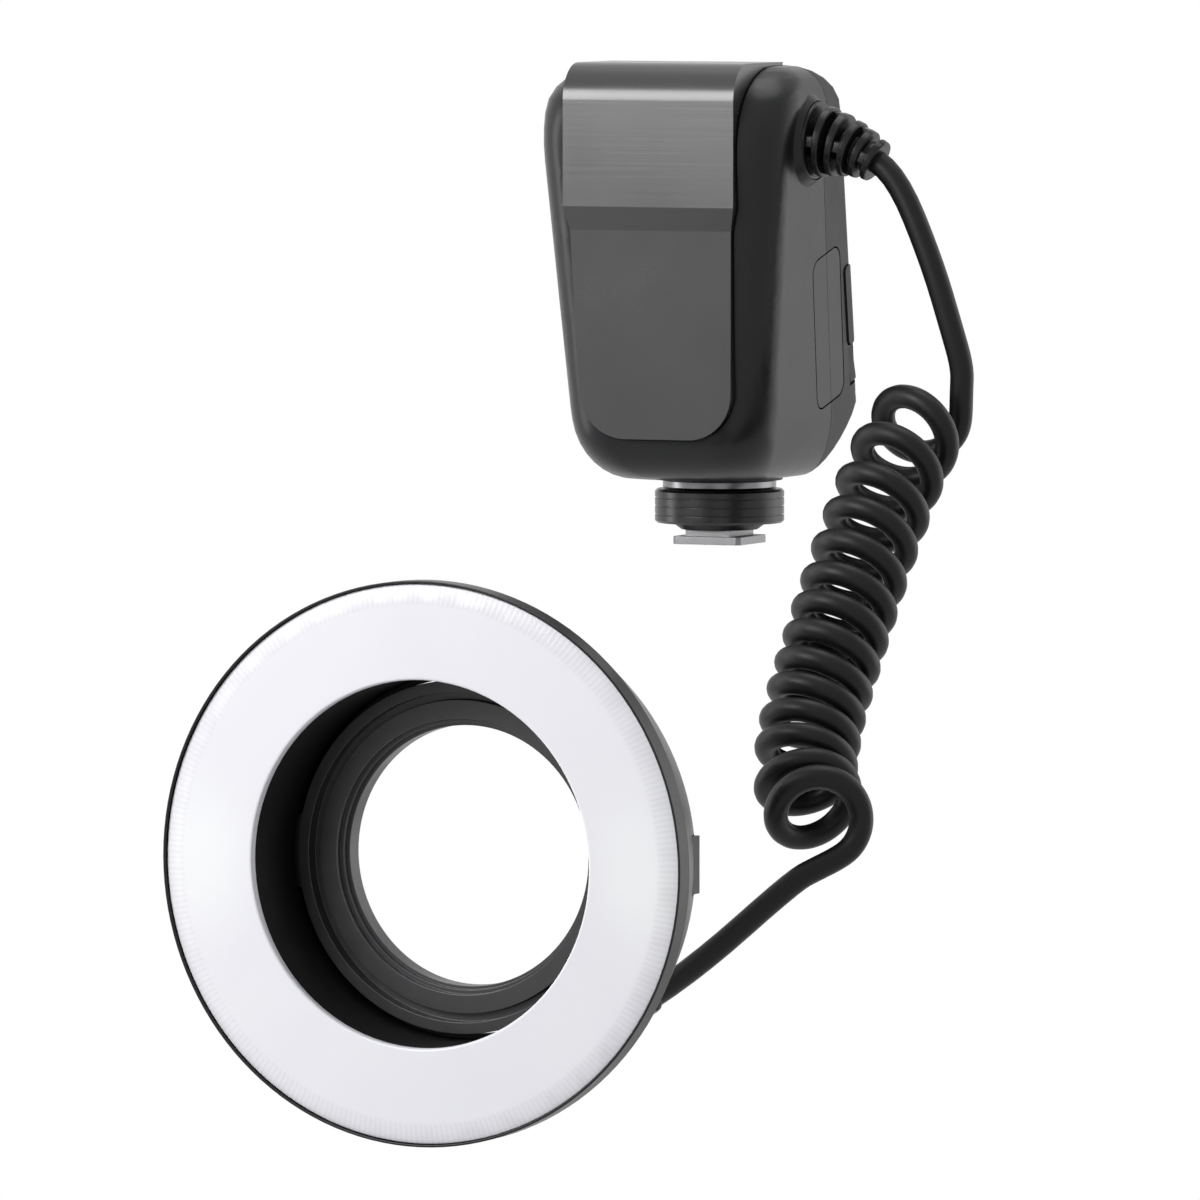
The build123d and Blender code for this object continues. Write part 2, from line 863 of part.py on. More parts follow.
def port_pocket_block():
    """The lump inside the rear shell that holds the recess and the port."""
    grow = running_gap * 2 + body_wall
    deep = cover_thick + running_gap + port_deep / 2
    block = extrude(Rectangle(cover_across + grow, cover_tall + grow), deep + overrun)
    return port_frame().location * Pos(0, 0, -deep) * block


def port_socket(grow):
    """The socket behind the cover."""
    top = -cover_thick - running_gap
    block = extrude(Rectangle(port_across + grow, port_tall + grow), -port_deep - grow)
    return port_frame().location * Pos(0, 0, top) * block


def indicator_lamp(block):
    """The small lamp below the port cover."""
    return edge_prism(lamp_up, lamp_radius * 2, lamp_radius * 2, lamp_radius * lamp_round_share,
                      edge_side_x(lamp_up, lamp_deep), top_half_width + overrun) & block


# Screws

def screw(long, radius, head_radius, head_tall):
    """A screw along Z with its head's top at 0 and its tip below."""
    shank = Pos(0, 0, -long) * extrude(Circle(radius), long)
    head = Pos(0, 0, -head_tall) * extrude(Circle(head_radius), head_tall)
    slot_long = head_radius * 2 + overrun
    slot = Pos(0, 0, -head_tall / 2) * extrude(Rectangle(screw_slot, slot_long), head_tall)
    return shank + head - slot


def screw_hole(long, radius, head_radius, head_tall):
    """The room for such a screw."""
    shank = Pos(0, 0, -long - screw_gap) * extrude(Circle(radius + screw_gap), long)
    head = Pos(0, 0, -head_tall) * extrude(Circle(head_radius + snug_gap), head_tall + overrun)
    return shank + head


def top_screw_places():
    """Where the two upper case screws stand on the rear face."""
    return [rear_face.location * Pos(side * top_screw_out, top_screw_up, 0) for side in (-1, 1)]


def low_screw_places():
    """Where the two lower case screws stand, pointing to the front."""
    low_rear = body_outline(low_screw_z)[2]
    outward = Plane(origin=(0, low_rear - screw_head_tall, low_screw_z), x_dir=(1, 0, 0), z_dir=(0, 1, 0))
    return [outward.location * Pos(side * low_screw_out, 0, 0) for side in (-1, 1)]


def case_screws():
    """The four screws that hold the shells together."""
    upper = screw(top_screw_long, screw_radius, screw_head_radius, screw_head_tall)
    lower = screw(low_screw_long, screw_radius, screw_head_radius, screw_head_tall)
    places = [place * upper for place in top_screw_places()]
    return Compound(places + [place * lower for place in low_screw_places()])


def case_screw_room():
    """The room for the four case screws."""
    upper = screw_hole(top_screw_long, screw_radius, screw_head_radius, screw_head_tall)
    lower = screw_hole(low_screw_long, screw_radius, screw_head_radius, screw_head_tall)
    places = [place * upper for place in top_screw_places()]
    return Compound(places + [place * lower for place in low_screw_places()])


def case_posts(inner):
    """The posts inside the body that the case screws go through, on both sides of the parting."""
    posts = []
    for place in top_screw_places():
        posts.append(place * Pos(0, 0, -top_post_reach) * extrude(Circle(post_radius), top_post_reach))
    reach = low_screw_long + low_post_spare
    tall = low_screw_z - body_bottom_z
    for place in low_screw_places():
        bar = Circle(low_post_radius) + Pos(0, tall / 2) * Rectangle(low_post_radius * 2, tall)
        posts.append(place * Pos(0, 0, -reach) * extrude(bar, reach))
    return [post & inner for post in posts]


# Shells of the control unit

def boot_frame():
    """Where the upper boot leaves the side: Z runs out along the boot."""
    side_x = body_outline(boot_z)[0]
    droop = math.radians(boot_droop)
    return Plane(origin=(side_x, boot_y, boot_z), x_dir=(0, 1, 0), z_dir=(math.cos(droop), 0, -math.sin(droop)))


def boot_boss(inner):
    """The flared boss of the front shell round the boot."""
    boss = Solid.make_cone(boss_flare_radius, boot_base_radius + snug_gap, boss_proud + body_wall)
    return (boot_frame().location * Pos(0, 0, -body_wall) * boss) - inner


def boot_hole():
    """The hole in the shell for the root of the boot."""
    base = Pos(0, 0, -snug_gap) * extrude(Circle(boot_base_radius), boss_proud + overrun)
    root = Pos(0, 0, -overrun) * extrude(Circle(boot_core_radius + snug_gap), overrun)
    return boot_frame().location * (base + root)


def neck_hole():
    """The hole in the bottom for the stem."""
    return upright(0, 0, body_bottom_z - overrun, body_bottom_z + body_wall + overrun, stem_radius + snug_gap)


def make_shells(block, inner):
    """The front and the rear shell."""
    hollow = block - inner
    posts = joined(case_posts(inner))
    openings = battery_opening() + battery_bay_room(inner)
    front = ((hollow + posts) & front_region()) + (boot_boss(inner) & front_region())
    front = front - panel_recess() - boot_hole() - neck_hole() - case_screw_room() - openings
    rear = (hollow + posts + (port_pocket_block() & inner)) - front_region()
    rear = rear - rear_openings() - release_hole() - port_recess() - port_socket(0) - case_screw_room() - openings
    lamp_bore = edge_prism(lamp_up, lamp_radius * 2, lamp_radius * 2, lamp_radius * lamp_round_share,
                           edge_side_x(lamp_up, lamp_deep), top_half_width + overrun)
    return front, rear - lamp_bore - boot_hole()


def battery_bay_room(inner):
    """The room that the bay takes up inside."""
    end_x = battery_end_x - bay_gap
    return battery_prism(bay_gap + bay_wall, end_x - bay_wall, top_half_width) & inner


def flash_capacitor():
    """The flash capacitor, lying across the body behind the front wall."""
    front = body_outline(capacitor_z - capacitor_radius)[1] + body_wall + running_gap
    can = Pos(0, front + capacitor_radius, capacitor_z) * Rot(0, 90, 0) * Cylinder(capacitor_radius,
                                                                                  capacitor_long)
    crimp_x = capacitor_long / 2 - capacitor_crimp_in
    band = Rot(0, 90, 0) * (Cylinder(capacitor_radius + capacitor_crimp, capacitor_crimp * 2)
                            - Cylinder(capacitor_radius - capacitor_crimp, capacitor_crimp * 2))
    return can - Pos(crimp_x, front + capacitor_radius, capacitor_z) * band


# Hot shoe foot and neck

def contact_places():
    """Where the five contacts stand, and their radii."""
    places = [(0, 0, centre_contact_radius)]
    for across in (-1, 1):
        for along in (-1, 1):
            places.append((across * small_contact_out, along * small_contact_along, small_contact_radius))
    return places


def contact_room():
    """The wells for the contacts and the bore for the lock pin."""
    high = contact_top_z + contact_proud + running_gap
    wells = [upright(x, y, -overrun, high, radius + running_gap) for x, y, radius in contact_places()]
    pin_high = lock_pin_top_z + running_gap
    wells.append(upright(0, -lock_pin_forward, -overrun, pin_high, lock_pin_radius + running_gap))
    return Compound(wells)


def foot_screw_places():
    """Where the four foot screws stand, heads down."""
    turned = Rot(180, 0, 0)
    places = []
    for across in (-1, 1):
        for along in (-1, 1):
            places.append(Pos(across * foot_screw_out, along * foot_screw_along, foot_screw_sink) * turned)
    return places


def foot_screws():
    """The four screws that hold the foot to its block."""
    one = screw(foot_screw_long, foot_screw_radius, foot_screw_head, foot_screw_sink)
    return Compound([place * one for place in foot_screw_places()])


def foot_screw_room():
    """The room for the foot screws."""
    one = screw_hole(foot_screw_long, foot_screw_radius, foot_screw_head, foot_screw_sink)
    return Compound([place * one for place in foot_screw_places()])


def hot_shoe_foot():
    """The metal foot with its web."""
    plate = extrude(Rectangle(foot_across, foot_long), foot_thick)
    plate = chamfer(plate.edges().filter_by(Axis.Z), foot_chamfer)
    web = Pos(0, 0, foot_thick) * extrude(Rectangle(web_across, web_long), web_top_z - foot_thick)
    return plate + web - contact_room() - foot_screw_room()


def foot_block():
    """The block over the foot: cone, stem and the flange inside the body."""
    cone = Pos(0, 0, web_top_z) * Solid.make_cone(cone_low_radius, cone_high_radius, cone_top_z - web_top_z)
    high = body_bottom_z + body_wall
    stem = upright(0, 0, cone_top_z, high, stem_radius)
    flange = upright(0, 0, high, high + stem_flange_thick, stem_flange_radius)
    return cone + stem + flange - contact_room() - foot_screw_room()


def lock_ring():
    """The lock ring, with fine grooves round it."""
    body = upright(0, 0, lock_ring_low_z, lock_ring_high_z, lock_ring_radius)
    body = chamfer(body.edges().filter_by(GeomType.CIRCLE), lock_ring_edge)
    grooves = []
    for index in range(lock_ring_groove_count):
        share = (index + 1) / (lock_ring_groove_count + 1)
        z = between(lock_ring_low_z, lock_ring_high_z, share)
        low = z - lock_ring_groove / 2
        outer = upright(0, 0, low, low + lock_ring_groove, lock_ring_radius + overrun)
        grooves.append(outer - upright(0, 0, low, low + lock_ring_groove, lock_ring_radius - lock_ring_groove))
    bore = upright(0, 0, lock_ring_low_z - overrun, lock_ring_high_z + overrun, stem_radius + running_gap)
    return body - Compound(grooves) - bore


def neck_piece(low, high, radius):
    """A flat ring round the stem."""
    return upright(0, 0, low, high, radius) - upright(0, 0, low, high, stem_radius)


def lock_pin():
    """The pin that the lock ring lowers into the shoe, drawn up."""
    return upright(0, -lock_pin_forward, 0, lock_pin_top_z, lock_pin_radius)


def shoe_contacts():
    """The five sprung contacts under the foot."""
    return Compound([upright(x, y, -contact_proud, contact_top_z, radius) for x, y, radius in contact_places()])


# Cord boots

def bent_place(long, bend, along):
    """A place along a boot of this length that bends down, in its own frame, by this angle."""
    radius = long / math.radians(bend)
    turn = bend * along / long
    down = radius * (1 - math.cos(math.radians(turn)))
    return Pos(0, -down, radius * math.sin(math.radians(turn))) * Rot(turn, 0, 0)


def ribbed_boot(long, bend, base_radius, tip_radius, core_radius, ribs, base_thick):
    """A bent boot: a base, ribs that grow smaller towards the tip, and bridges between the ribs."""
    step = (long - base_thick) / ribs
    rib = step * boot_rib_share
    tip = bent_place(long, bend, long)
    arc = Edge.make_tangent_arc(Vector(0, 0, 0), Vector(0, 0, 1), Vector(*tip.position))
    solids = [sweep(Circle(core_radius), path=arc), extrude(Circle(base_radius), base_thick)]
    for index in range(ribs):
        radius = between(base_radius, tip_radius, (index + 1) / ribs)
        top = bent_place(long, bend, base_thick + step * (index + 1))
        solids.append(top * extrude(Circle(radius), -rib))
        bridge = extrude(Rectangle(radius * 2, boot_bridge_across) & Circle(radius), -step)
        solids.append(top * Rot(0, 0, 90 * (index % 2)) * bridge)
    return joined(solids)


def cord_boot_upper():
    """The boot at the control unit."""
    boot = ribbed_boot(boot_long, boot_bend, boot_base_radius - snug_gap, boot_tip_radius, boot_core_radius,
                       boot_rib_count, boot_base_thick)
    root = Pos(0, 0, -boot_root) * extrude(Circle(boot_core_radius), boot_root)
    return boot_frame().location * (boot + root)


def entry_frame():
    """Where the boot leaves the back of the ring head: Z runs out, and the boot bends against Y."""
    place = ring_place(entry_angle, entry_radius, ring_depth)
    towards = math.radians(entry_bend_towards)
    return Plane(origin=Vector(*place.position), x_dir=(math.sin(towards), 0, -math.cos(towards)), z_dir=(0, 1, 0))


def cord_boot_ring():
    """The boot at the ring head, with its root in the rear cover."""
    boot = ribbed_boot(entry_boot_long, entry_boot_bend, entry_boot_radius, entry_boot_tip_radius, cord_radius,
                       entry_rib_count, entry_base_thick)
    root = Pos(0, 0, -rear_cover_thick) * extrude(Circle(entry_root_radius), rear_cover_thick)
    return entry_frame().location * (boot + root)


# Ring head

def turned(points):
    """A ring about the head's axis, from an outline of radius and depth."""
    face = make_face(Plane.XZ * Polyline(*points, close=True))
    return ring_frame.location * revolve(face, Axis.Z)


def ring_disc(radius, front, back):
    """A disc about the head's axis, from one depth to another."""
    return ring_frame.location * Pos(0, 0, front) * extrude(Circle(radius), back - front)


def ring_place(angle, radius, depth):
    """A place in the head: angle from +X towards the bottom, radius and depth behind the front."""
    return ring_frame.location * Rot(0, 0, angle) * Pos(radius, 0, depth)


def cone_outer(depth):
    """Radius of the casing's outside at this depth."""
    return ring_radius - cone_fall * max(depth - ring_band, 0)


def casing_screw_boss(angle):
    """A boss for a cover screw, carried by a rib to the casing's wall."""
    long = cover_front_depth - boss_front_depth
    rib_long = ring_radius - boss_ring_radius
    boss = extrude(Circle(boss_radius) + Pos(rib_long / 2, 0) * Rectangle(rib_long, boss_radius * 2), long)
    within = turned([(0, 0), (cone_outer(0) - snug_gap, 0), (cone_outer(0) - snug_gap, ring_band),
                     (cone_outer(cover_front_depth) - snug_gap, cover_front_depth), (0, cover_front_depth)])
    return (ring_place(angle, boss_ring_radius, boss_front_depth) * boss) & within


def button_slot(side):
    """The slot in the casing for a release button, on one side."""
    wide = button_half_tall * 2 + running_gap * 2
    low = button_front_depth - running_gap
    long = ring_radius - button_inner_radius + slider_travel + overrun
    slot = Box(long, wide, cover_front_depth - low, align=(Align.MIN, Align.CENTER, Align.MIN))
    place = ring_frame.location * Rot(0, 0, 0 if side > 0 else 180)
    return place * Pos(button_inner_radius - slider_travel - running_gap, 0, low) * slot


def ring_casing():
    """The casing of the head: lip, ledge for the diffuser, cone and bosses."""
    wall_radius = ring_radius - casing_wall
    lip_radius = ring_radius - casing_lip
    points = [
        (lip_radius, casing_lip_back),
        (ring_radius, casing_lip_back),
        (ring_radius, ring_band),
        (ring_cone_radius, cover_front_depth),
        (ring_cone_radius - ring_edge_chamfer / 2, ring_depth - ring_edge_chamfer),
        (ring_cone_radius - ring_edge_chamfer, ring_depth),
        (rear_cover_radius + snug_gap, ring_depth),
        (rear_cover_radius + snug_gap, cover_front_depth),
        (ring_cone_radius - casing_wall, cover_front_depth),
        (wall_radius, ring_band),
        (wall_radius, diffuser_thick + ledge_thick),
        (ledge_inner_radius, diffuser_thick + ledge_thick),
        (ledge_inner_radius, diffuser_thick),
        (lip_radius, diffuser_thick),
    ]
    casing = turned(points)
    for angle in cover_screw_angles:
        casing = casing + casing_screw_boss(angle)
    for side in (-1, 1):
        casing = casing - button_slot(side)
    return casing - cover_screw_room()


def cover_screw_places():
    """Where the screws of the rear cover stand."""
    return [ring_place(angle, boss_ring_radius, ring_depth) for angle in cover_screw_angles]


def cover_screw_long():
    """Length of a cover screw."""
    return ring_depth - boss_front_depth - boss_radius


def ring_screws():
    """The screws of the rear cover."""
    one = screw(cover_screw_long(), screw_radius, boss_radius, rear_cover_thick / 2)
    return Compound([place * one for place in cover_screw_places()])


def cover_screw_room():
    """The room for the cover screws."""
    one = screw_hole(cover_screw_long(), screw_radius, boss_radius, rear_cover_thick / 2)
    return Compound([place * one for place in cover_screw_places()])


def ring_rear_cover():
    """The flat cover at the back of the head."""
    inner = adapter_radius + adapter_gap
    cover = ring_disc(rear_cover_radius, cover_front_depth, ring_depth) - ring_disc(
        inner, cover_front_depth - overrun, ring_depth + overrun)
    hole = Pos(0, 0, -overrun) * extrude(Circle(entry_root_radius + snug_gap), overrun * 2)
    return cover - entry_frame().location * hole - cover_screw_room()


def diffuser():
    """The white diffuser with its bevelled outer edge."""
    outer = ring_radius - casing_lip - snug_gap
    points = [
        (bore_radius, diffuser_lip),
        (bore_radius + diffuser_lip, 0),
        (outer - diffuser_bevel_run, 0),
        (outer, diffuser_bevel_drop),
        (outer, diffuser_thick),
        (bore_radius, diffuser_thick),
    ]
    return turned(points)


def claw_reach():
    """Radius at which a claw leaves its plate."""
    return (slider_inner_radius + slider_outer_radius) / 2


def claw_chord():
    """Width of a claw."""
    return claw_reach() * math.tan(math.radians(claw_half_angle)) * 2


def claw_slot(side):
    """The slot in the sleeve for a claw."""
    front = slider_front(0) - running_gap
    back = cover_front_depth
    wide = claw_chord() + claw_side_gap * 2
    slot = Box(sleeve_radius - adapter_radius + overrun, wide, back - front,
               align=(Align.MIN, Align.CENTER, Align.MIN))
    place = ring_frame.location * Rot(0, 0, 0 if side > 0 else 180)
    return place * Pos(adapter_radius - overrun / 2, 0, front) * slot


def bore_sleeve():
    """The sleeve of the bore, with its front flange and the slots for the claws."""
    front = diffuser_thick
    points = [
        (bore_radius, front),
        (sleeve_flange_radius, front),
        (sleeve_flange_radius, front + sleeve_flange_thick),
        (sleeve_radius, front + sleeve_flange_thick),
        (sleeve_radius, cover_front_depth),
        (bore_radius, cover_front_depth),
    ]
    sleeve = turned(points)
    for side in (-1, 1):
        sleeve = sleeve - claw_slot(side)
    return sleeve


tray_front_depth = diffuser_thick + ledge_thick + running_gap
tray_floor_depth = tray_front_depth + tray_deep
ring_board_depth = tray_floor_depth + running_gap


def reflector_tray():
    """The trough behind the diffuser."""
    points = [
        (tray_outer_radius, tray_front_depth),
        (tray_floor_radius, tray_floor_depth),
        (tray_inner_radius, tray_floor_depth),
        (tray_inner_radius, tray_front_depth),
        (tray_inner_radius + tray_skin, tray_front_depth),
        (tray_inner_radius + tray_skin, tray_floor_depth - tray_skin),
        (tray_floor_radius - tray_skin, tray_floor_depth - tray_skin),
        (tray_outer_radius - tray_skin, tray_front_depth),
    ]
    return turned(points)


def flash_tube(side):
    """One curved flash tube with a cap at each end."""
    depth = tray_floor_depth - tray_skin - running_gap - tube_radius - tube_cap_extra
    sweep = tube_half_sweep * 2
    section = Plane.XZ * Pos(tube_ring_radius, 0) * Circle(tube_radius)
    glass = Rot(0, 0, -tube_half_sweep) * revolve(section, Axis.Z, sweep)
    cap_section = Plane.XZ * Pos(tube_ring_radius, 0) * Circle(tube_radius + tube_cap_extra)
    cap_sweep = math.degrees(tube_cap_long / tube_ring_radius)
    cap = revolve(cap_section, Axis.Z, cap_sweep)
    low = Rot(0, 0, -tube_half_sweep) * cap
    high = Rot(0, 0, tube_half_sweep - cap_sweep) * cap
    turn = 0 if side > 0 else 180
    return ring_frame.location * Rot(0, 0, turn) * Pos(0, 0, depth) * (glass + low + high)


def focus_lamps():
    """Two focusing lamps on each side of the trough's floor."""
    front = tray_floor_depth - tray_skin - lamp_tall
    lamps = []
    for turn in (0, 180):
        for sign in (-1, 1):
            place = ring_place(turn + sign * lamp_half_angle, lamp_ring_radius, front)
            lamps.append(place * extrude(Rectangle(lamp_size, lamp_size), lamp_tall))
    return Compound(lamps)


def ring_circuit_board():
    """The ring-shaped board behind the trough."""
    back = ring_board_depth + ring_board_thick
    return ring_disc(ring_board_outer, ring_board_depth, back) - ring_disc(ring_board_inner, ring_board_depth, back)


def slider_front(index):
    """Depth of the front of a slider plate, the first nearer the front."""
    groove_front = adapter_front_depth + adapter_rim_wide
    edge = (adapter_groove_wide - slider_thick * 2 - slider_between) / 2
    return groove_front + edge + index * (slider_thick + slider_between)


def slider_guide():
    """The ring in front of the sliders, with the seats for their springs."""
    back = slider_front(0) - guide_gap
    front = back - guide_thick
    inner = sleeve_radius + guide_gap
    ring = ring_disc(guide_outer_radius, front, back) - ring_disc(inner, front, back)
    for turn in (0, 180):
        seat = Box(seat_thick, spring_out * 2 + spring_radius * 2, seat_deep,
                   align=(Align.MIN, Align.CENTER, Align.MAX))
        ring = ring + ring_frame.location * Rot(0, 0, turn) * Pos(seat_inner_radius, 0, front) * seat
    return ring


def slider_springs():
    """Two springs behind each button, drawn at their pressed length on their seats."""
    depth = slider_front(0) - guide_gap - guide_thick - seat_deep / 2
    start = seat_inner_radius + seat_thick
    long = button_inner_radius - slider_travel - running_gap - start
    springs = []
    for turn in (0, 180):
        for sign in (-1, 1):
            place = ring_frame.location * Rot(0, 0, turn) * Pos(start, sign * spring_out, depth) * Rot(0, 90, 0)
            springs.append(place * extrude(Circle(spring_radius), long))
    return Compound(springs)


def release_slider(index):
    """A release slider: a plate round the bore, a button on one side and a claw on the other."""
    plate = Circle(slider_outer_radius) - Circle(slider_inner_radius)
    claw = Pos(claw_reach() / 2, 0) * Rectangle(claw_reach(), claw_chord()) & Circle(claw_reach())
    claw = claw - Circle(claw_radius)
    arm_long = button_inner_radius - slider_inner_radius
    arm = Pos(-button_inner_radius + arm_long / 2, 0) * Rectangle(arm_long, button_half_tall * 2)
    arm = arm - Circle(slider_inner_radius)
    flat = extrude(plate + claw + arm, slider_thick)
    front = slider_front(index)
    button_long = cover_front_depth - button_back_gap - button_front_depth
    button_wide = button_outer_radius - button_inner_radius
    button = Pos(-button_inner_radius, 0, button_front_depth) * Box(
        button_wide, button_half_tall * 2, button_long, align=(Align.MAX, Align.CENTER, Align.MIN))
    slider = Pos(0, 0, front) * flat + button
    turn = 0 if index == 0 else 180
    return ring_frame.location * Rot(0, 0, turn) * slider


def adapter_ring():
    """The adapter ring: grooved rim, grey face, stepped bore and the thread for the lens."""
    front = adapter_front_depth
    groove_front = front + adapter_rim_wide
    groove_back = groove_front + adapter_groove_wide
    rim_back = groove_back + adapter_rear_rim
    thread_front = rim_back + thread_relief_wide
    thread_back = thread_front + thread_long
    channel_floor = front + adapter_channel_deep
    points = [
        (adapter_channel_radius, front),
        (adapter_radius, front),
        (adapter_radius, groove_front),
        (adapter_groove_radius, groove_front),
        (adapter_groove_radius, groove_back),
        (adapter_radius, groove_back),
        (adapter_radius, rim_back),
        (thread_relief_radius, rim_back),
        (thread_relief_radius, thread_front),
        (thread_radius, thread_front),
        (thread_radius, thread_back),
        (adapter_bore_radius, thread_back),
        (adapter_bore_radius, relief_end_depth),
        (relief_radius, relief_end_depth),
        (relief_radius, relief_depth),
        (face_inner_radius, relief_depth),
        (face_inner_radius, face_depth),
        (face_outer_radius, face_depth),
        (face_outer_radius, channel_floor),
        (adapter_channel_radius, channel_floor),
    ]
    return turned(points)


# Curly part of the cord

def eased(share):
    """A smooth rise from 0 to 1."""
    part = min(max(share, 0), 1)
    return part * part * (3 - 2 * part)


def along_table(rows, turn):
    """The value of a table at this count of turns, eased from row to row."""
    for before, after in zip(rows, rows[1:]):
        if turn <= after[0]:
            return between(before[1], after[1], eased((turn - before[0]) / (after[0] - before[0])))
    return rows[-1][1]


def coil_heading(turn):
    """Direction of the coil's axis at this count of turns."""
    tilt = math.radians(along_table(coil_tilts, turn))
    yaw = math.radians(along_table(coil_yaws, turn))
    return Vector(math.cos(tilt) * math.sin(yaw), -math.cos(tilt) * math.cos(yaw), -math.sin(tilt))


def coil_table():
    """Points of the coil, by steps: its axis bends, and its turns keep clear of each other in the bends."""
    step = 1 / coil_steps_per_turn
    axis_point = Vector(*coil_start)
    points = []
    for index in range(round(coil_turns * coil_steps_per_turn) + 1):
        turn = index * step
        heading = coil_heading(turn)
        bend = math.radians(heading.get_angle(coil_heading(turn + step))) / step
        pitch = along_table(coil_pitches, turn) + coil_mean_radius * bend
        side = Vector(0, 0, 1).cross(heading).normalized()
        down = heading.cross(side) * -1
        angle = math.radians(360 * turn)
        spoke = side * math.cos(angle) + down * math.sin(angle)
        points.append(axis_point + spoke * coil_mean_radius * along_table(coil_swells, turn))
        axis_point = axis_point + heading * (pitch * step)
    return points


coil_points = coil_table()


def coil_tangent(index):
    """Direction of the wire at a point of the coil."""
    before = coil_points[max(index - 1, 0)]
    after = coil_points[min(index + 1, len(coil_points) - 1)]
    return (after - before).normalized()


def two_arcs(start, start_dir, end, end_dir):
    """Two arcs that leave start along start_dir and reach end along end_dir."""
    gap = end - start
    both = start_dir + end_dir
    a = 2 * (1 - start_dir.dot(end_dir))
    b = 2 * gap.dot(both)
    c = -gap.dot(gap)
    reach = -c / b if abs(a) < least_turn else (-b + math.sqrt(b * b - 4 * a * c)) / (2 * a)
    first = start + start_dir * reach
    second = end - end_dir * reach
    middle = (first + second) * 0.5
    return [
        Edge.make_tangent_arc(start, start_dir, middle),
        Edge.make_tangent_arc(middle, (second - first).normalized(), end),
    ]


def coil_wire():
    """The coil's middle line: a straight end, arcs of a quarter turn each, a straight end."""
    stride = coil_steps_per_turn // arc_points_per_turn
    first_dir = coil_tangent(0)
    last_dir = coil_tangent(len(coil_points) - 1)
    edges = [Edge.make_line(coil_points[0] - first_dir * cord_diameter, coil_points[0])]
    marks = list(range(0, len(coil_points) - 1, stride)) + [len(coil_points) - 1]
    for here, there in zip(marks, marks[1:]):
        edges += two_arcs(coil_points[here], coil_tangent(here), coil_points[there], coil_tangent(there))
    edges.append(Edge.make_line(coil_points[-1], coil_points[-1] + last_dir * cord_diameter))
    return Wire(edges)


def tube_along(wire):
    """A round cord along a wire."""
    start = wire.position_at(0)
    frame = Plane(origin=start, z_dir=wire.tangent_at(0))
    return sweep(frame * Circle(cord_radius), path=wire)


def least_gap():
    """The least gap between one turn of the coil and another."""
    least = None
    away = coil_steps_per_turn // 2
    for index, point in enumerate(coil_points):
        for other in coil_points[index + away:]:
            gap = (other - point).length - cord_diameter
            if least is None or gap < least:
                least = gap
    return least


# Free stretches of the cord

def route_radii(points):
    """The radius of the bend at each inner point of a route; the runs at its two ends serve one bend each."""
    radii = []
    for index in range(1, len(points) - 1):
        run_in = points[index] - points[index - 1]
        run_out = points[index + 1] - points[index]
        half_turn = math.radians(run_in.get_angle(run_out)) / 2
        room_in = run_in.length * (2 if index == 1 else 1)
        room_out = run_out.length * (2 if index == len(points) - 2 else 1)
        radii.append(bend_share * min(room_in, room_out) / math.tan(half_turn))
    return radii


def free_lead(points, name):
    """A free stretch of cord as a tube: straight runs joined by wide arcs."""
    radii = route_radii(points)
    wire = Wire(FilletPolyline(*points, radius=radii).edges())
    tube = tube_along(wire)
    share = tube.volume / (math.pi * cord_radius ** 2 * wire.length)
    print(name, "radii", [round(radius, 1) for radius in radii], "volume share", round(share, 4))
    return tube, wire.length


def boot_tip_upper(beyond):
    """Where the cord leaves the upper boot, or a place beyond it on the boot's axis."""
    place = boot_frame().location * bent_place(boot_long, boot_bend, boot_long) * Pos(0, 0, beyond)
    return Vector(*place.position)


def boot_tip_ring(beyond):
    """Where the cord enters the boot of the ring head, or a place beyond it on the boot's axis."""
    bent = bent_place(entry_boot_long, entry_boot_bend, entry_boot_long)
    place = entry_frame().location * bent * Pos(0, 0, beyond)
    return Vector(*place.position)


def coil_end(index, along):
    """A place in line with the wire at one end of the coil."""
    return coil_points[index] + coil_tangent(index) * along


# Build every piece

block = body_block(0)
inner = body_block(body_wall)
proud_block = body_block(-release_proud)
front_shell, rear_shell = make_shells(block, inner)

write("front_shell", front_shell)
write("rear_shell", rear_shell)
write("front_panel", front_panel())
write("display_bezel", display_bezel())
write("display_window", display_window())
write("display_module", display_module())
write("main_circuit_board", main_circuit_board())
write("transformer", transformer())
write("button_board", button_board())
write("dial_encoder", dial_encoder())
write("flash_capacitor", flash_capacitor())
write("battery_bay", battery_bay(inner))
write("battery_contacts", contact_slots(snug_gap))
write("port_socket", port_socket(-snug_gap))
write("indicator_lamp", indicator_lamp(block))
write("case_screws", case_screws())
write("foot_block", foot_block())
write("neck_flange", neck_piece(neck_high_z, body_bottom_z, flange_radius))
write("neck_collar", neck_piece(neck_low_z, neck_high_z, neck_radius))
write("hot_shoe_foot", hot_shoe_foot())
write("foot_screws", foot_screws())
write("cord_boot_upper", cord_boot_upper())
write("cord_boot_ring", cord_boot_ring())
write("ring_casing", ring_casing())
write("ring_rear_cover", ring_rear_cover())
write("ring_screws", ring_screws())
write("diffuser", diffuser())
write("bore_sleeve", bore_sleeve())
write("reflector_tray", reflector_tray())
write("flash_tube_left", flash_tube(-1))
write("flash_tube_right", flash_tube(1))
write("focus_lamps", focus_lamps())
write("ring_circuit_board", ring_circuit_board())
write("slider_guide", slider_guide())
write("slider_springs", slider_springs())

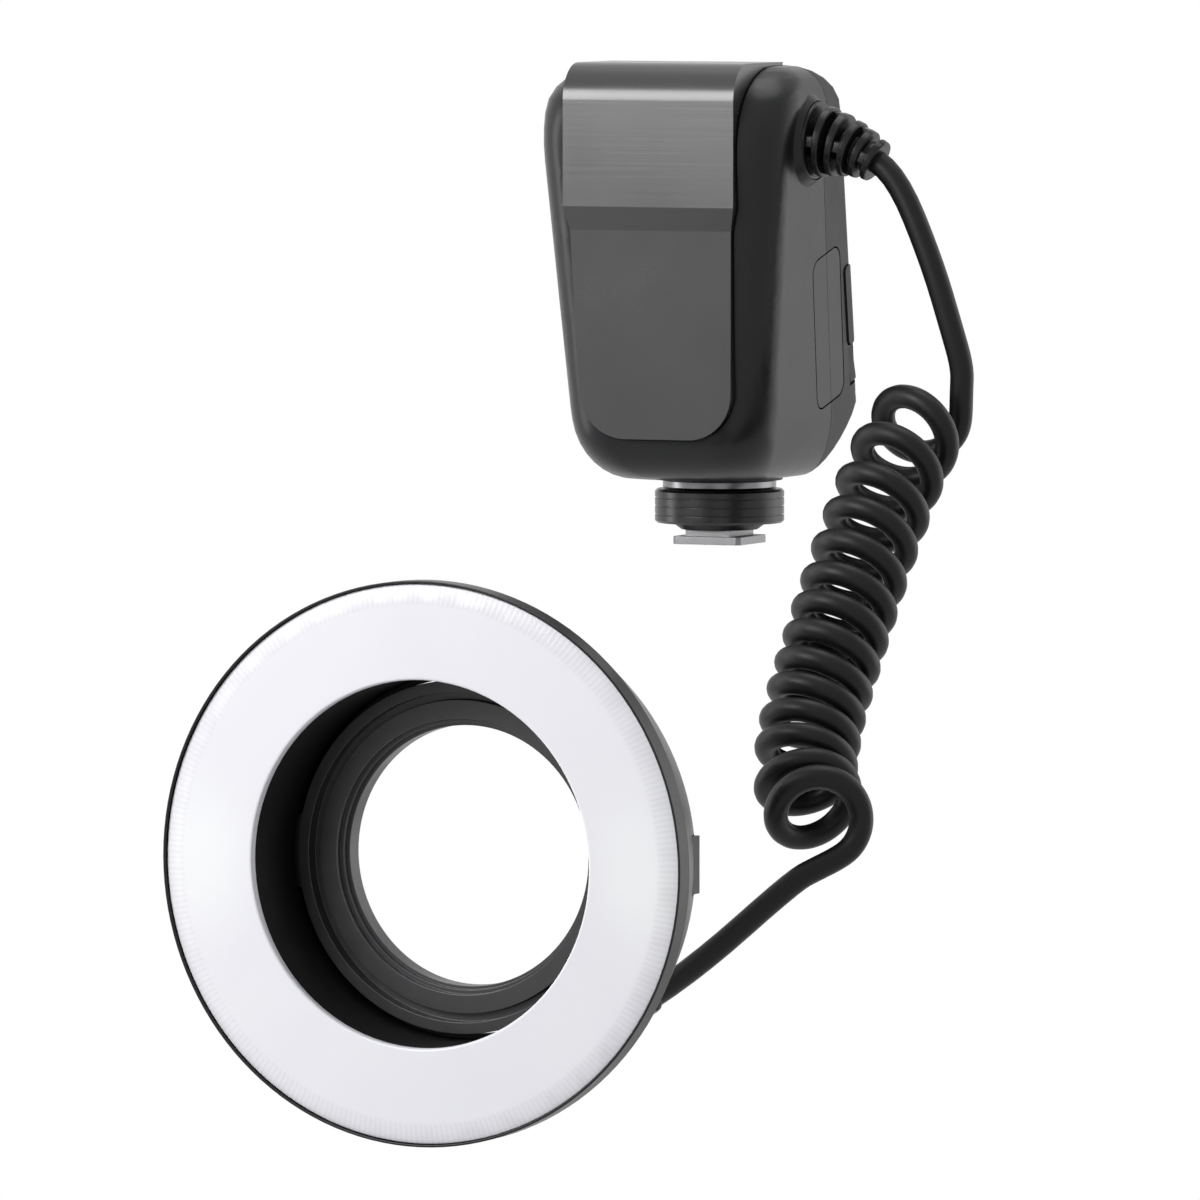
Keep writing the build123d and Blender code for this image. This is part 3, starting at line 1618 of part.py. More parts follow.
write("lock_ring", lock_ring())
write("lock_pin", lock_pin())
write("shoe_contacts", shoe_contacts())
write("battery_pack", battery_pack())
write("battery_cap", battery_cap(block))
write("battery_release", battery_release(proud_block))
write("port_cover", port_cover())
for index in range(function_key_count):
    write(f"function_key_{index + 1}", key(function_key_out(index), function_key_up, function_key_across,
                                           function_key_tall, function_key_round))
write("mode_key", key(side_key_out, side_key_up, side_key_across, side_key_tall, side_key_round))
write("menu_key", key(-side_key_out, side_key_up, side_key_across, side_key_tall, side_key_round))
write("test_button", test_button())
write("power_switch", power_switch())
write("select_dial", select_dial())
write("set_button", set_button())
write("release_slider_left", release_slider(0))
write("release_slider_right", release_slider(1))
write("adapter_ring", adapter_ring())

coil_path = coil_wire()
upper_points = [boot_tip_upper(0), boot_tip_upper(upper_run_out)]
upper_points += [Vector(*point) for point in upper_lead_points]
upper_points += [coil_end(0, -cord_diameter - upper_run_in), coil_end(0, -cord_diameter)]
last = len(coil_points) - 1
lower_points = [coil_end(last, cord_diameter), coil_end(last, cord_diameter + lower_run_out)]
lower_points += [boot_tip_ring(lower_run_in), boot_tip_ring(0)]
upper_lead, upper_long = free_lead(upper_points, "upper lead")
lower_lead, lower_long = free_lead(lower_points, "lower lead")
write("cord_upper_lead", upper_lead)
write("cord_lower_lead", lower_lead)
write("cord_coil", tube_along(coil_path))
print("coil length", round(coil_path.length, 1), "least gap", round(least_gap(), 2))
print("cord length", round(coil_path.length + upper_long + lower_long, 1))
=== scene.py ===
"""A macro ring flash: control unit, curly cord and ring head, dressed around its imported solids."""

import json
import math

import bmesh
import bpy
from bpy.props import FloatProperty, FloatVectorProperty, IntProperty, PointerProperty
from mathutils import Matrix, Vector

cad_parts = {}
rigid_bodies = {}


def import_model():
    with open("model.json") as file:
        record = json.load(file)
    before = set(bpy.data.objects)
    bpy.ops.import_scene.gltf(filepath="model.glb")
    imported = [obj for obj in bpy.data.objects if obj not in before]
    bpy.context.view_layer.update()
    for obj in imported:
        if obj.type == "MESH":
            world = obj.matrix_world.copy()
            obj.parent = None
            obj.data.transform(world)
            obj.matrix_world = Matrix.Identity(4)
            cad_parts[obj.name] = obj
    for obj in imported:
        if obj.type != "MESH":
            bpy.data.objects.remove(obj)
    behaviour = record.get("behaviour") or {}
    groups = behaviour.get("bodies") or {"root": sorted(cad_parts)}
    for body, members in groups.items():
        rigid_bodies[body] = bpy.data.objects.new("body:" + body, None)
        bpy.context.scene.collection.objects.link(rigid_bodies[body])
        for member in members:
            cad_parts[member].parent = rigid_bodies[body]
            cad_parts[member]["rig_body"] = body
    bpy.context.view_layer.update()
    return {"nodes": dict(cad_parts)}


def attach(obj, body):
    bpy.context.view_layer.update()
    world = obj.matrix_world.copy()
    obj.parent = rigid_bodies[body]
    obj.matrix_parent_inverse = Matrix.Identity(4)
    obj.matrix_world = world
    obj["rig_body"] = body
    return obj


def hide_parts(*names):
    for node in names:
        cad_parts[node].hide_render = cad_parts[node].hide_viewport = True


bl_info = {
    "name": "Macro Ring Flash",
    "version": (1, 0, 0),
    "blender": (4, 5, 0),
    "location": "View3D > Sidebar > Ring Flash",
    "description": "Builds the looks of a macro ring flash around its solids",
    "category": "Object",
}

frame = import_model()
UNIT = "control_unit"
MM = 0.001

# The ring head's axis runs along Y at this height, the lock ring's along Z through the origin
RING_Z = -0.068
RING_CENTRE = (0, 0, RING_Z)
FOOT_CENTRE = (0, 0, 0)

# Diffuser: the radii between which its bevel starts, the count of the bevel's flutes and the tones
# of the painted shade on them
BEVEL_START = (0.0624, 0.0632)
FLUTES = 300
PAINTED_FLUTE_TONES = (0.03, 0.15)

# Diffuser: place, share of the height that counts and fading distances of its two bright spots,
# where the focusing lamps' glow is painted on
SPOT_OUT = 0.058
SPOT_SQUASH = 0.62
SPOT_FADE = (0.002, 0.019)

# Ranges of a noise that are spread over the whole of a mottled finish and of the diffuser's clouds
MOTTLE_RANGE = (0.3, 0.7)
CLOUD_RANGE = (0.35, 0.7)

# Route of the cord, from the upper boot to the coil and from the coil to the lower boot
UPPER_ROUTE = (
    (0.05153, -0.02, 0.09756),
    (0.05667, -0.02, 0.09447),
    (0.0662, -0.02, 0.0728),
    (0.0712, -0.019, 0.0559),
    (0.07367, -0.01802, 0.04646),
    (0.07328, -0.01772, 0.04048),
)
LOWER_ROUTE = (
    (0.07336, -0.11214, -0.07215),
    (0.06897, -0.11521, -0.07484),
    (0.05008, -0.13223, -0.09566),
    (0.04346, -0.14295, -0.10175),
)

# The curly part: its axis is followed in so many steps to a turn, and each row of a table is a
# count of turns and the value there
COIL_START = (0.0643, -0.018, 0.0345)
COIL_TURNS = 14.1875
COIL_STEPS = 48
COIL_SWELLS = ((0.0, 0.86), (1.0, 1.0), (14.1875, 1.0))
COIL_PITCHES = ((0.0, 11.3), (4.0, 9.9), (8.0, 6.9), (11.0, 6.8), (14.1875, 7.8))
COIL_TILTS = (
    (0.0, 15.1), (1.5, 39.4), (3.0, 49.5), (6.0, 52.8),
    (9.0, 59.1), (11.5, 52.6), (13.0, 33.3), (14.1875, 6.0),
)
COIL_YAWS = (
    (0.0, 3.9), (1.5, -1.3), (3.0, -4.1), (6.0, -3.2),
    (9.0, -7.9), (11.5, 12.2), (13.0, 40.0), (14.1875, 29.6),
)

# Seam between the two shells, a groove darkened along its line with painted shade: its Y at three
# heights, where it fades out from its middle, its depth
SEAM_TOP_Y, SEAM_TOP_Z = -0.0127, 0.1238
SEAM_BEND_Y, SEAM_BEND_Z = -0.0098, 0.092
SEAM_FOOT_Y, SEAM_FOOT_Z = 0.01064, 0.019
SEAM_HALF_WIDTH = (0.0001, 0.00025)
SEAM_DEPTH = 0.00025

# Boots: origin, X, Y and Z directions of their frames, with Z running out along the boot
UNIT_BOOT_PLACE = (
    (0.03351, -0.02, 0.1029), (0, 1, 0), (0.0349, 0, 0.99939), (0.99939, 0, -0.0349))
RING_BOOT_PLACE = (
    (0.0405, -0.154, -0.10447), (0.67688, 0, -0.7361), (-0.7361, 0, -0.67688), (0, 1, 0))

# Boots: length, bend, radii of base, tip and core, count of ribs, thickness of base and bridges
UNIT_BOOT_SIZES = (0.019, math.radians(29), 0.00985, 0.0057, 0.0042, 5, 0.002, 0.003)
RING_BOOT_SIZES = (0.012, math.radians(40), 0.0044, 0.0039, 0.0031, 3, 0.0015, 0.002)

# Each boot starts this far inside the wall that it stands on
BOOT_ROOT = 0.001

# Boots, as shares: a rib's height in its step, its taper and rounding, the core's width at the tip,
# a bridge's reach across its rib, its overlap with the ribs beside it, and its rounding
RIB_SHARE = 0.52
RIB_TAPER = 0.12
RIB_ROUNDING = 0.2
BOOT_LIP = 0.72
BRIDGE_REACH = 1.94
BRIDGE_OVERLAP = 1.5
BRIDGE_ROUNDING = 0.14

# How meshes are merged, which edges count as sharp, how widely the diffuser's shading blends, and
# how far a turned face may be out of true
MERGE_GAP = 0.0000015
SPIN_GAP = 0.000001
FLAT_ANGLE = math.radians(0.4)
TURNED_EDGE = math.radians(35)
RIB_EDGE = math.radians(40)
DIFFUSER_BLEND = math.radians(50)
TURNED_MISFIT = 0.07

# Fineness of the turning marks
TURNED_LINES = 3200
REFLECTOR_LINES = 3000

# Camera's aim, measured to the right and up from the origin, and the floor's height and half width
AIM_RIGHT = -0.0303
AIM_UP = -0.01445
FLOOR_Z = -0.42
FLOOR_HALF = 6

# Colours that no setting holds
WHITE = (1, 1, 1, 1)
SKY_TINT = (0.95, 0.97, 1, 1)
FLOOR_PALE = (0.85, 0.85, 0.85)
# Painted shade in the seam between the shells
SEAM_PAINTED_SHADE = (0.002, 0.002, 0.002)
OPAL_CLOUD = (0.972, 0.975, 0.985)
# Painted shade on the diffuser's fluted bevel
PAINTED_FLUTE_SHADE = (0.5, 0.5, 0.52)
FLAP_GREY = (0.02, 0.02, 0.022)
LAMP_RED = (0.16, 0.012, 0.012)
BOOT_BLACK = (0.01, 0.01, 0.011)
LOCK_BLACK = (0.014, 0.014, 0.015)
COLLAR_GREY = (0.2, 0.2, 0.21)
FOOT_GREY = (0.22, 0.22, 0.225)
GOLD = (0.75, 0.52, 0.2)
BLOCK_BLACK = (0.02, 0.02, 0.022)
SCREW_GREY = (0.42, 0.42, 0.43)
KEY_GREY = (0.03, 0.03, 0.033)
BEZEL_BLACK = (0.018, 0.018, 0.02)
WINDOW_GREY = (0.05, 0.055, 0.055)
DIAL_GREY = (0.024, 0.024, 0.026)
DISPLAY_GREY = (0.12, 0.135, 0.115)
BUTTON_GREY = (0.05, 0.05, 0.053)
BOARD_GREEN = (0.012, 0.075, 0.035)
BOARD_TRACK = (0.016, 0.09, 0.042)
BOARD_GAP = (0.02, 0.13, 0.06)
INNER_GREY = (0.07, 0.07, 0.075)
SLEEVE_BLUE = (0.02, 0.02, 0.03)
REFLECTOR_SILVER = (0.85, 0.85, 0.86)
TUBE_CLEAR = (0.9, 0.92, 0.95)
SPRING_GREY = (0.6, 0.6, 0.62)
PACK_BLACK = (0.035, 0.035, 0.04)


def colour_setting(name, description, default):
    """A colour that the user can change."""
    return FloatVectorProperty(
        name=name, description=description, subtype="COLOR", size=3, default=default, min=0, max=1)


def power_setting(name, description, default):
    """The power of a lamp."""
    return FloatProperty(name=name, description=description, unit="POWER", default=default, min=0)


class BodyFinish(bpy.types.PropertyGroup):
    """Finish of the control unit's housing."""

    shell_colour: colour_setting(
        "Shell colour", "Colour of the front shell", (0.013, 0.0133, 0.0145))
    rear_colour: colour_setting(
        "Rear colour", "Colour of the rear shell", (0.011, 0.0112, 0.012))
    panel_colour: colour_setting(
        "Panel colour", "Colour of the front panel", (0.018, 0.0182, 0.0195))
    pad_colour: colour_setting(
        "Pad colour", "Colour of the battery release", (0.032, 0.032, 0.034))
    shell_roughness: FloatProperty(
        name="Shell roughness", description="Roughness of the satin shell", subtype="FACTOR",
        default=0.3, min=0, max=1)
    edge_radius: FloatProperty(
        name="Edge radius", description="Rounding of the moulded edges", unit="LENGTH",
        default=0.35 * MM, min=0, max=0.002, precision=5)


class CordFinish(bpy.types.PropertyGroup):
    """Sizes and finish of the cord and its boots."""

    diameter: FloatProperty(
        name="Diameter", description="Outer diameter of the cord", unit="LENGTH",
        default=6 * MM, min=0.001, max=0.02, precision=4)
    coil_radius: FloatProperty(
        name="Coil radius", description="Radius from the coil's axis to the middle of the cord",
        unit="LENGTH", default=10 * MM, min=0.004, max=0.03, precision=4)
    points_per_turn: IntProperty(
        name="Points per turn", description="Control points on each turn of the curly part",
        subtype="UNSIGNED", default=16, min=12, max=24)
    colour: colour_setting("Cord colour", "Colour of the cord's jacket", (0.009, 0.009, 0.0098))
    roughness: FloatProperty(
        name="Cord roughness", description="Roughness of the jacket", subtype="FACTOR",
        default=0.42, min=0, max=1)


class RingFinish(bpy.types.PropertyGroup):
    """Finish of the ring head."""

    opal_colour: colour_setting("Opal colour", "Colour of the diffuser", (0.83, 0.825, 0.862))
    # Painted glow: the lighter colour painted on the diffuser in front of the focusing lamps
    painted_glow_colour: colour_setting(
        "Painted glow colour", "Lamp glow painted on the diffuser in front of the focusing lamps",
        (0.9, 0.9, 0.91))
    casing_colour: colour_setting(
        "Casing colour", "Colour of the casing", (0.011, 0.011, 0.012))
    bore_colour: colour_setting(
        "Bore colour", "Colour of the matt bore", (0.0025, 0.0025, 0.0027))
    adapter_colour: colour_setting(
        "Adapter colour", "Colour of the anodised adapter ring", (0.04, 0.04, 0.042))


class StudioSettings(bpy.types.PropertyGroup):
    """Camera and light."""

    azimuth: FloatProperty(
        name="Azimuth", description="Turn of the camera round the flash", unit="ROTATION",
        default=math.radians(23.7))
    elevation: FloatProperty(
        name="Elevation", description="Height angle of the camera", unit="ROTATION",
        default=math.radians(3.5))
    distance: FloatProperty(
        name="Distance", description="From the camera to the aim point", unit="LENGTH",
        default=3.25, min=0.5)
    lens: FloatProperty(
        name="Lens", description="Focal length", unit="CAMERA", default=384.6, min=10)
    key_power: power_setting("Key light", "Power of the large light in front", 5.6)
    left_power: power_setting("Left light", "Power of the tall light at the left", 3.5)
    rim_power: power_setting("Rim light", "Power of the tall light at the right", 3.2)
    top_power: power_setting("Top light", "Power of the light overhead", 4)
    sky_strength: FloatProperty(
        name="Sky", description="Even light from all round", subtype="FACTOR", default=0.22,
        min=0, max=2)


# Material nodes

def link(tree, source, target):
    """Joins an output to an input."""
    tree.links.new(source, target)


def plain_material(name, colour, roughness, metallic=0.0, specular=0.5):
    """A material with one shader, its even values on the shader's own sockets."""
    material = bpy.data.materials.new(name)
    material.use_nodes = True
    shader = material.node_tree.nodes["Principled BSDF"]
    shader.inputs["Base Color"].default_value = (*colour[:3], 1)
    shader.inputs["Roughness"].default_value = roughness
    shader.inputs["Metallic"].default_value = metallic
    shader.inputs["Specular IOR Level"].default_value = specular
    material.diffuse_color = (*colour[:3], 1)
    return material


def object_place(tree, scale=(1, 1, 1), centre=(0, 0, 0)):
    """Object coordinates measured from a centre and scaled."""
    coords = tree.nodes.new("ShaderNodeTexCoord")
    mapping = tree.nodes.new("ShaderNodeMapping")
    mapping.vector_type = "POINT"
    mapping.inputs["Location"].default_value = [-c * s for c, s in zip(centre, scale)]
    mapping.inputs["Scale"].default_value = scale
    link(tree, coords.outputs["Object"], mapping.inputs["Vector"])
    return mapping.outputs["Vector"]


def apart_from(tree, scale, centre):
    """Distance from a centre, along the directions whose scale is not 0."""
    made = tree.nodes.new("ShaderNodeVectorMath")
    made.operation = "LENGTH"
    link(tree, object_place(tree, scale, centre), made.inputs[0])
    return made.outputs["Value"]


def parts_of(tree, centre=(0, 0, 0)):
    """The X, Y and Z outputs of Object coordinates measured from a centre."""
    made = tree.nodes.new("ShaderNodeSeparateXYZ")
    link(tree, object_place(tree, centre=centre), made.inputs["Vector"])
    return made.outputs


def noise(tree, vector, scale, detail=2.0, roughness=0.5):
    """A noise value on a vector."""
    made = tree.nodes.new("ShaderNodeTexNoise")
    made.inputs["Scale"].default_value = scale
    made.inputs["Detail"].default_value = detail
    made.inputs["Roughness"].default_value = roughness
    link(tree, vector, made.inputs["Vector"])
    return made.outputs["Fac"]


def math_node(tree, operation, first, second=None):
    """A Math node; each input is an output of another node or a number."""
    made = tree.nodes.new("ShaderNodeMath")
    made.operation = operation
    for socket, value in zip(made.inputs, (first, second)):
        if isinstance(value, (int, float)):
            socket.default_value = value
        elif value is not None:
            link(tree, value, socket)
    return made.outputs["Value"]


def span(tree, value, low, high, to_low, to_high, smooth=False):
    """Maps a range of a value to another range, clamped."""
    made = tree.nodes.new("ShaderNodeMapRange")
    made.interpolation_type = "SMOOTHSTEP" if smooth else "LINEAR"
    ends = (("From Min", low), ("From Max", high), ("To Min", to_low), ("To Max", to_high))
    for name, number in ends:
        made.inputs[name].default_value = number
    link(tree, value, made.inputs["Value"])
    return made.outputs["Result"]


def mixed(tree, factor, first, second, blend_type="MIX"):
    """A colour between two, by a varying factor; each is a colour or an output of a node."""
    made = tree.nodes.new("ShaderNodeMix")
    made.data_type = "RGBA"
    made.blend_type = blend_type
    link(tree, factor, made.inputs[0])
    for socket, value in zip((made.inputs[6], made.inputs[7]), (first, second)):
        if isinstance(value, bpy.types.NodeSocket):
            link(tree, value, socket)
        else:
            socket.default_value = (*value[:3], 1)
    return made.outputs[2]


def relief(material, height, depth):
    """Bumps a material by a height value, this deep."""
    tree = material.node_tree
    bump = tree.nodes.new("ShaderNodeBump")
    bump.inputs["Distance"].default_value = depth
    bump.inputs["Strength"].default_value = 1.0
    link(tree, height, bump.inputs["Height"])
    shader = tree.nodes["Principled BSDF"]
    earlier = shader.inputs["Normal"].links
    if earlier:
        link(tree, earlier[0].from_socket, bump.inputs["Normal"])
    link(tree, bump.outputs["Normal"], shader.inputs["Normal"])


def mottle(material, colour, roughness, spread, scale, rough_spread):
    """Slight uneven colour and gloss, as on moulded or handled surfaces."""
    tree = material.node_tree
    shader = tree.nodes["Principled BSDF"]
    value = noise(tree, object_place(tree), scale, detail=4.0, roughness=0.6)
    lighter = [min(1, c * (1 + spread)) for c in colour[:3]]
    darker = [c * (1 - spread) for c in colour[:3]]
    link(tree, mixed(tree, value, darker, lighter), shader.inputs["Base Color"])
    ends = roughness - rough_spread, roughness + rough_spread
    link(tree, span(tree, value, *MOTTLE_RANGE, *ends), shader.inputs["Roughness"])


def moulded_plastic(name, colour, roughness, grain=2600, depth=0.000012, specular=0.22):
    """Moulded plastic with a fine spark-eroded grain."""
    material = plain_material(name, colour, roughness, specular=specular)
    mottle(material, colour, roughness, spread=0.08, scale=60, rough_spread=0.04)
    tree = material.node_tree
    relief(material, noise(tree, object_place(tree), grain, detail=3.0, roughness=0.6), depth)
    return material


def shell_seam(material):
    """The groove where the two shells meet, seen on the sides: bumped in, and darkened along its
    line with painted shade.
    """
    tree = material.node_tree
    shader = tree.nodes["Principled BSDF"]
    place = parts_of(tree)
    low = span(tree, place["Z"], SEAM_FOOT_Z, SEAM_BEND_Z, SEAM_FOOT_Y, SEAM_BEND_Y)
    high = span(tree, place["Z"], SEAM_BEND_Z, SEAM_TOP_Z, 0.0, SEAM_TOP_Y - SEAM_BEND_Y)
    away = math_node(tree, "SUBTRACT", place["Y"], math_node(tree, "ADD", low, high))
    # Painted shade: the colour is darkened along the seam, as in the groove's shadow
    line = span(tree, math_node(tree, "ABSOLUTE", away), *SEAM_HALF_WIDTH, 1.0, 0.0)
    earlier = shader.inputs["Base Color"].links[0].from_socket
    link(tree, mixed(tree, line, earlier, SEAM_PAINTED_SHADE), shader.inputs["Base Color"])
    relief(material, math_node(tree, "SUBTRACT", 1.0, line), SEAM_DEPTH)
    return material


def brushed_plastic(name, colour, roughness):
    """Satin plastic with fine level lines across it."""
    material = plain_material(name, colour, roughness, specular=0.85)
    mottle(material, colour, roughness, spread=0.1, scale=30, rough_spread=0.03)
    tree = material.node_tree
    lines = noise(tree, object_place(tree, scale=(25, 25, 1500)), scale=1.0, detail=0.0)
    relief(material, lines, depth=0.000008)
    return material


def soft_rubber(name, colour, roughness):
    """Moulded rubber: a slight bloom and a soft grain."""
    material = plain_material(name, colour, roughness, specular=0.2)
    mottle(material, colour, roughness, spread=0.18, scale=120, rough_spread=0.06)
    tree = material.node_tree
    grain = noise(tree, object_place(tree), scale=900, detail=4.0, roughness=0.6)
    relief(material, grain, depth=0.00002)
    return material


def turned_metal(
        name, colour, roughness, centre=FOOT_CENTRE, along_z=True, metallic=1.0,
        lines=TURNED_LINES):
    """Turned metal: fine lines round an axis along Z or Y."""
    material = plain_material(name, colour, roughness, metallic=metallic)
    mottle(material, colour, roughness, spread=0.08, scale=200, rough_spread=0.04)
    tree = material.node_tree
    across, along = ((1, 1, 0), (0, 0, 1)) if along_z else ((1, 0, 1), (0, 1, 0))
    both = tree.nodes.new("ShaderNodeCombineXYZ")
    link(tree, apart_from(tree, across, centre), both.inputs["X"])
    link(tree, apart_from(tree, along, centre), both.inputs["Y"])
    marks = noise(tree, both.outputs["Vector"], lines, roughness=0.6)
    relief(material, marks, depth=0.000004)
    return material


def opal_plastic(name, look):
    """Opal diffuser: painted glow in front of the focusing lamps, and fine flutes on its bevel,
    bumped and darkened with painted shade.
    """
    material = plain_material(name, look.opal_colour, roughness=0.32)
    tree = material.node_tree
    spots = []
    # Painted glow: the colour is lightened in two spots, as if lit by the focusing lamps behind
    for side in (-1, 1):
        away = apart_from(tree, (1, 0, SPOT_SQUASH), (side * SPOT_OUT, 0, RING_Z))
        spots.append(span(tree, away, *SPOT_FADE, 1.0, 0.0, smooth=True))
    glow = math_node(tree, "MAXIMUM", *spots)
    face = mixed(tree, glow, look.opal_colour, look.painted_glow_colour)
    cloud = span(tree, noise(tree, object_place(tree), scale=28), *CLOUD_RANGE, 0.0, 1.0)
    clouded = mixed(tree, cloud, face, OPAL_CLOUD, "MULTIPLY")
    # Painted shade: the bevel is darkened, more deeply between the flutes
    bevel = span(tree, apart_from(tree, (1, 0, 1), RING_CENTRE), *BEVEL_START, 0.0, 1.0)
    place = parts_of(tree, RING_CENTRE)
    angle = math_node(tree, "ARCTAN2", place["Z"], place["X"])
    flutes = math_node(tree, "SINE", math_node(tree, "MULTIPLY", angle, FLUTES))
    shade = math_node(tree, "MULTIPLY", bevel, span(tree, flutes, -1.0, 1.0, *PAINTED_FLUTE_TONES))
    fluted = mixed(tree, shade, clouded, PAINTED_FLUTE_SHADE, "MULTIPLY")
    link(tree, fluted, tree.nodes["Principled BSDF"].inputs["Base Color"])
    relief(material, math_node(tree, "MULTIPLY", bevel, flutes), depth=0.000008)
    return material


def clear_glass(name, colour, alpha):
    """Clear cover or tube."""
    material = plain_material(name, colour, roughness=0.04, specular=0.6)
    tree = material.node_tree
    tree.nodes["Principled BSDF"].inputs["Alpha"].default_value = alpha
    relief(material, noise(tree, object_place(tree), scale=40, detail=1.0), depth=0.000004)
    return material


def circuit_board(name):
    """Board with a solder mask, tracks and lands."""
    material = plain_material(name, BOARD_GREEN, roughness=0.35)
    tree = material.node_tree
    tracks = tree.nodes.new("ShaderNodeTexBrick")
    tracks.inputs["Scale"].default_value = 220
    tracks.inputs["Mortar Size"].default_value = 0.03
    tracks.inputs["Color1"].default_value = (*BOARD_GREEN, 1)
    tracks.inputs["Color2"].default_value = (*BOARD_TRACK, 1)
    tracks.inputs["Mortar"].default_value = (*BOARD_GAP, 1)
    link(tree, object_place(tree), tracks.inputs["Vector"])
    link(tree, tracks.outputs["Color"], tree.nodes["Principled BSDF"].inputs["Base Color"])
    relief(material, tracks.outputs["Fac"], depth=0.00003)
    return material


def liquid_crystal(name, roughness):
    """The unlit display behind its window."""
    material = plain_material(name, DISPLAY_GREY, roughness)
    mottle(material, DISPLAY_GREY, roughness, spread=0.06, scale=90, rough_spread=0.03)
    tree = material.node_tree
    grid = tree.nodes.new("ShaderNodeTexVoronoi")
    grid.feature = "DISTANCE_TO_EDGE"
    grid.inputs["Scale"].default_value = 1400
    link(tree, object_place(tree), grid.inputs["Vector"])
    relief(material, grid.outputs["Distance"], depth=0.000008)
    return material


def seen_white(tree):
    """1 on rays that come from the eye, from a glossy surface or through a clear one."""
    path = tree.nodes.new("ShaderNodeLightPath").outputs
    direct = math_node(tree, "MAXIMUM", path["Is Camera Ray"], path["Is Transmission Ray"])
    return math_node(tree, "MAXIMUM", direct, path["Is Glossy Ray"])


def shader_mix(tree, factor, first, second):
    """A shader between two, by a factor."""
    made = tree.nodes.new("ShaderNodeMixShader")
    for socket, value in zip(made.inputs, (factor, first, second)):
        link(tree, value, socket)
    return made.outputs["Shader"]


# Shapes

def mesh_object(form, name, material):
    """Turns a bmesh into a smooth object of the scene."""
    for face in form.faces:
        face.smooth = True
    mesh = bpy.data.meshes.new(name)
    form.to_mesh(mesh)
    form.free()
    mesh.materials.append(material)
    piece = bpy.data.objects.new(name, mesh)
    bpy.context.scene.collection.objects.link(piece)
    return piece


def sharp_edges(form, angle):
    """The edges whose two faces meet at more than this angle."""
    return [edge for edge in form.edges if edge.is_manifold and edge.calc_face_angle(0) > angle]


def round_edges(form, edges, offset, segments, **more):
    """Bevels edges of a bmesh to a rounding."""
    bmesh.ops.bevel(
        form, geom=edges, offset=offset, segments=segments, profile=0.5, affect="EDGES",
        material=-1, **more)


def even_shading(piece):
    """Weights the normals by the faces' sizes."""
    weighted = piece.modifiers.new("Even shading", "WEIGHTED_NORMAL")
    weighted.mode = "FACE_AREA_WITH_ANGLE"
    weighted.keep_sharp = True


def merged_form(node):
    """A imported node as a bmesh, with its loose triangles merged to clean faces."""
    form = bmesh.new()
    form.from_mesh(frame["nodes"][node].data)
    bmesh.ops.remove_doubles(form, verts=form.verts, dist=MERGE_GAP)
    bmesh.ops.dissolve_limit(
        form, angle_limit=FLAT_ANGLE, verts=form.verts, edges=form.edges,
        use_dissolve_boundaries=False)
    return form


def stand_for(piece, node):
    """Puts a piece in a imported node's place, on its body."""
    source = frame["nodes"][node]
    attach(piece, source["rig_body"])
    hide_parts(node)


def dressed_copy(node, material, width, edge_angle=32):
    """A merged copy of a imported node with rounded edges, which stands for the node."""
    piece = mesh_object(merged_form(node), node + "_finish", material)
    bevel = piece.modifiers.new("Rounded edges", "BEVEL")
    bevel.width = width
    bevel.segments = 2
    bevel.limit_method = "ANGLE"
    bevel.angle_limit = math.radians(edge_angle)
    bevel.use_clamp_overlap = True
    bevel.harden_normals = False
    even_shading(piece)
    stand_for(piece, node)


def turned_shading(mesh, centre, blend):
    """Smooth shading for faces turned about Y through a centre.

    A face takes the tilt of a larger neighbour where the two differ by no more than blend.
    """
    axis = Vector((0, 1, 0))
    middle = Vector(centre)
    tilts = {}
    around = [[] for _ in mesh.vertices]
    for face in mesh.polygons:
        away = face.center - middle
        outward = Vector((away.x, 0, away.z)).normalized()
        out, along = face.normal.dot(outward), face.normal.dot(axis)
        if (face.normal - outward * out - axis * along).length < TURNED_MISFIT:
            tilts[face.index] = Vector((out, along)).normalized()
            for vert in face.vertices:
                around[vert].append((face.area, face.index))
    normals = [Vector((0, 0, 0)) for _ in mesh.loops]
    for index, own in tilts.items():
        for loop in mesh.polygons[index].loop_indices:
            vert = mesh.loops[loop].vertex_index
            near = [row for row in around[vert] if own.angle(tilts[row[1]]) <= blend]
            tilt = tilts[max(near)[1]] if near else own
            spot = mesh.vertices[vert].co - middle
            outward = Vector((spot.x, 0, spot.z)).normalized()
            normals[loop] = (outward * tilt.x + axis * tilt.y).normalized()
    mesh.normals_split_custom_set(normals)


def turned_copy(node, material, width, blend=0.02):
    """A merged copy of a node of the ring head, with rounded edges and turned shading."""
    form = merged_form(node)
    round_edges(form, sharp_edges(form, TURNED_EDGE), width, 2, clamp_overlap=True)
    piece = mesh_object(form, node + "_finish", material)
    turned_shading(piece.data, RING_CENTRE, blend)
    stand_for(piece, node)


def finish_node(node, material):
    """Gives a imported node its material."""
    mesh = frame["nodes"][node].data
    mesh.materials.clear()
    mesh.materials.append(material)
    for face in mesh.polygons:
        face.material_index = 0


def local_frame(place):
    """The matrix of a boot's frame."""
    origin, x_dir, y_dir, z_dir = (Vector(part) for part in place)
    rotation = Matrix((x_dir, y_dir, z_dir)).transposed()
    return Matrix.Translation(origin) @ rotation.to_4x4()


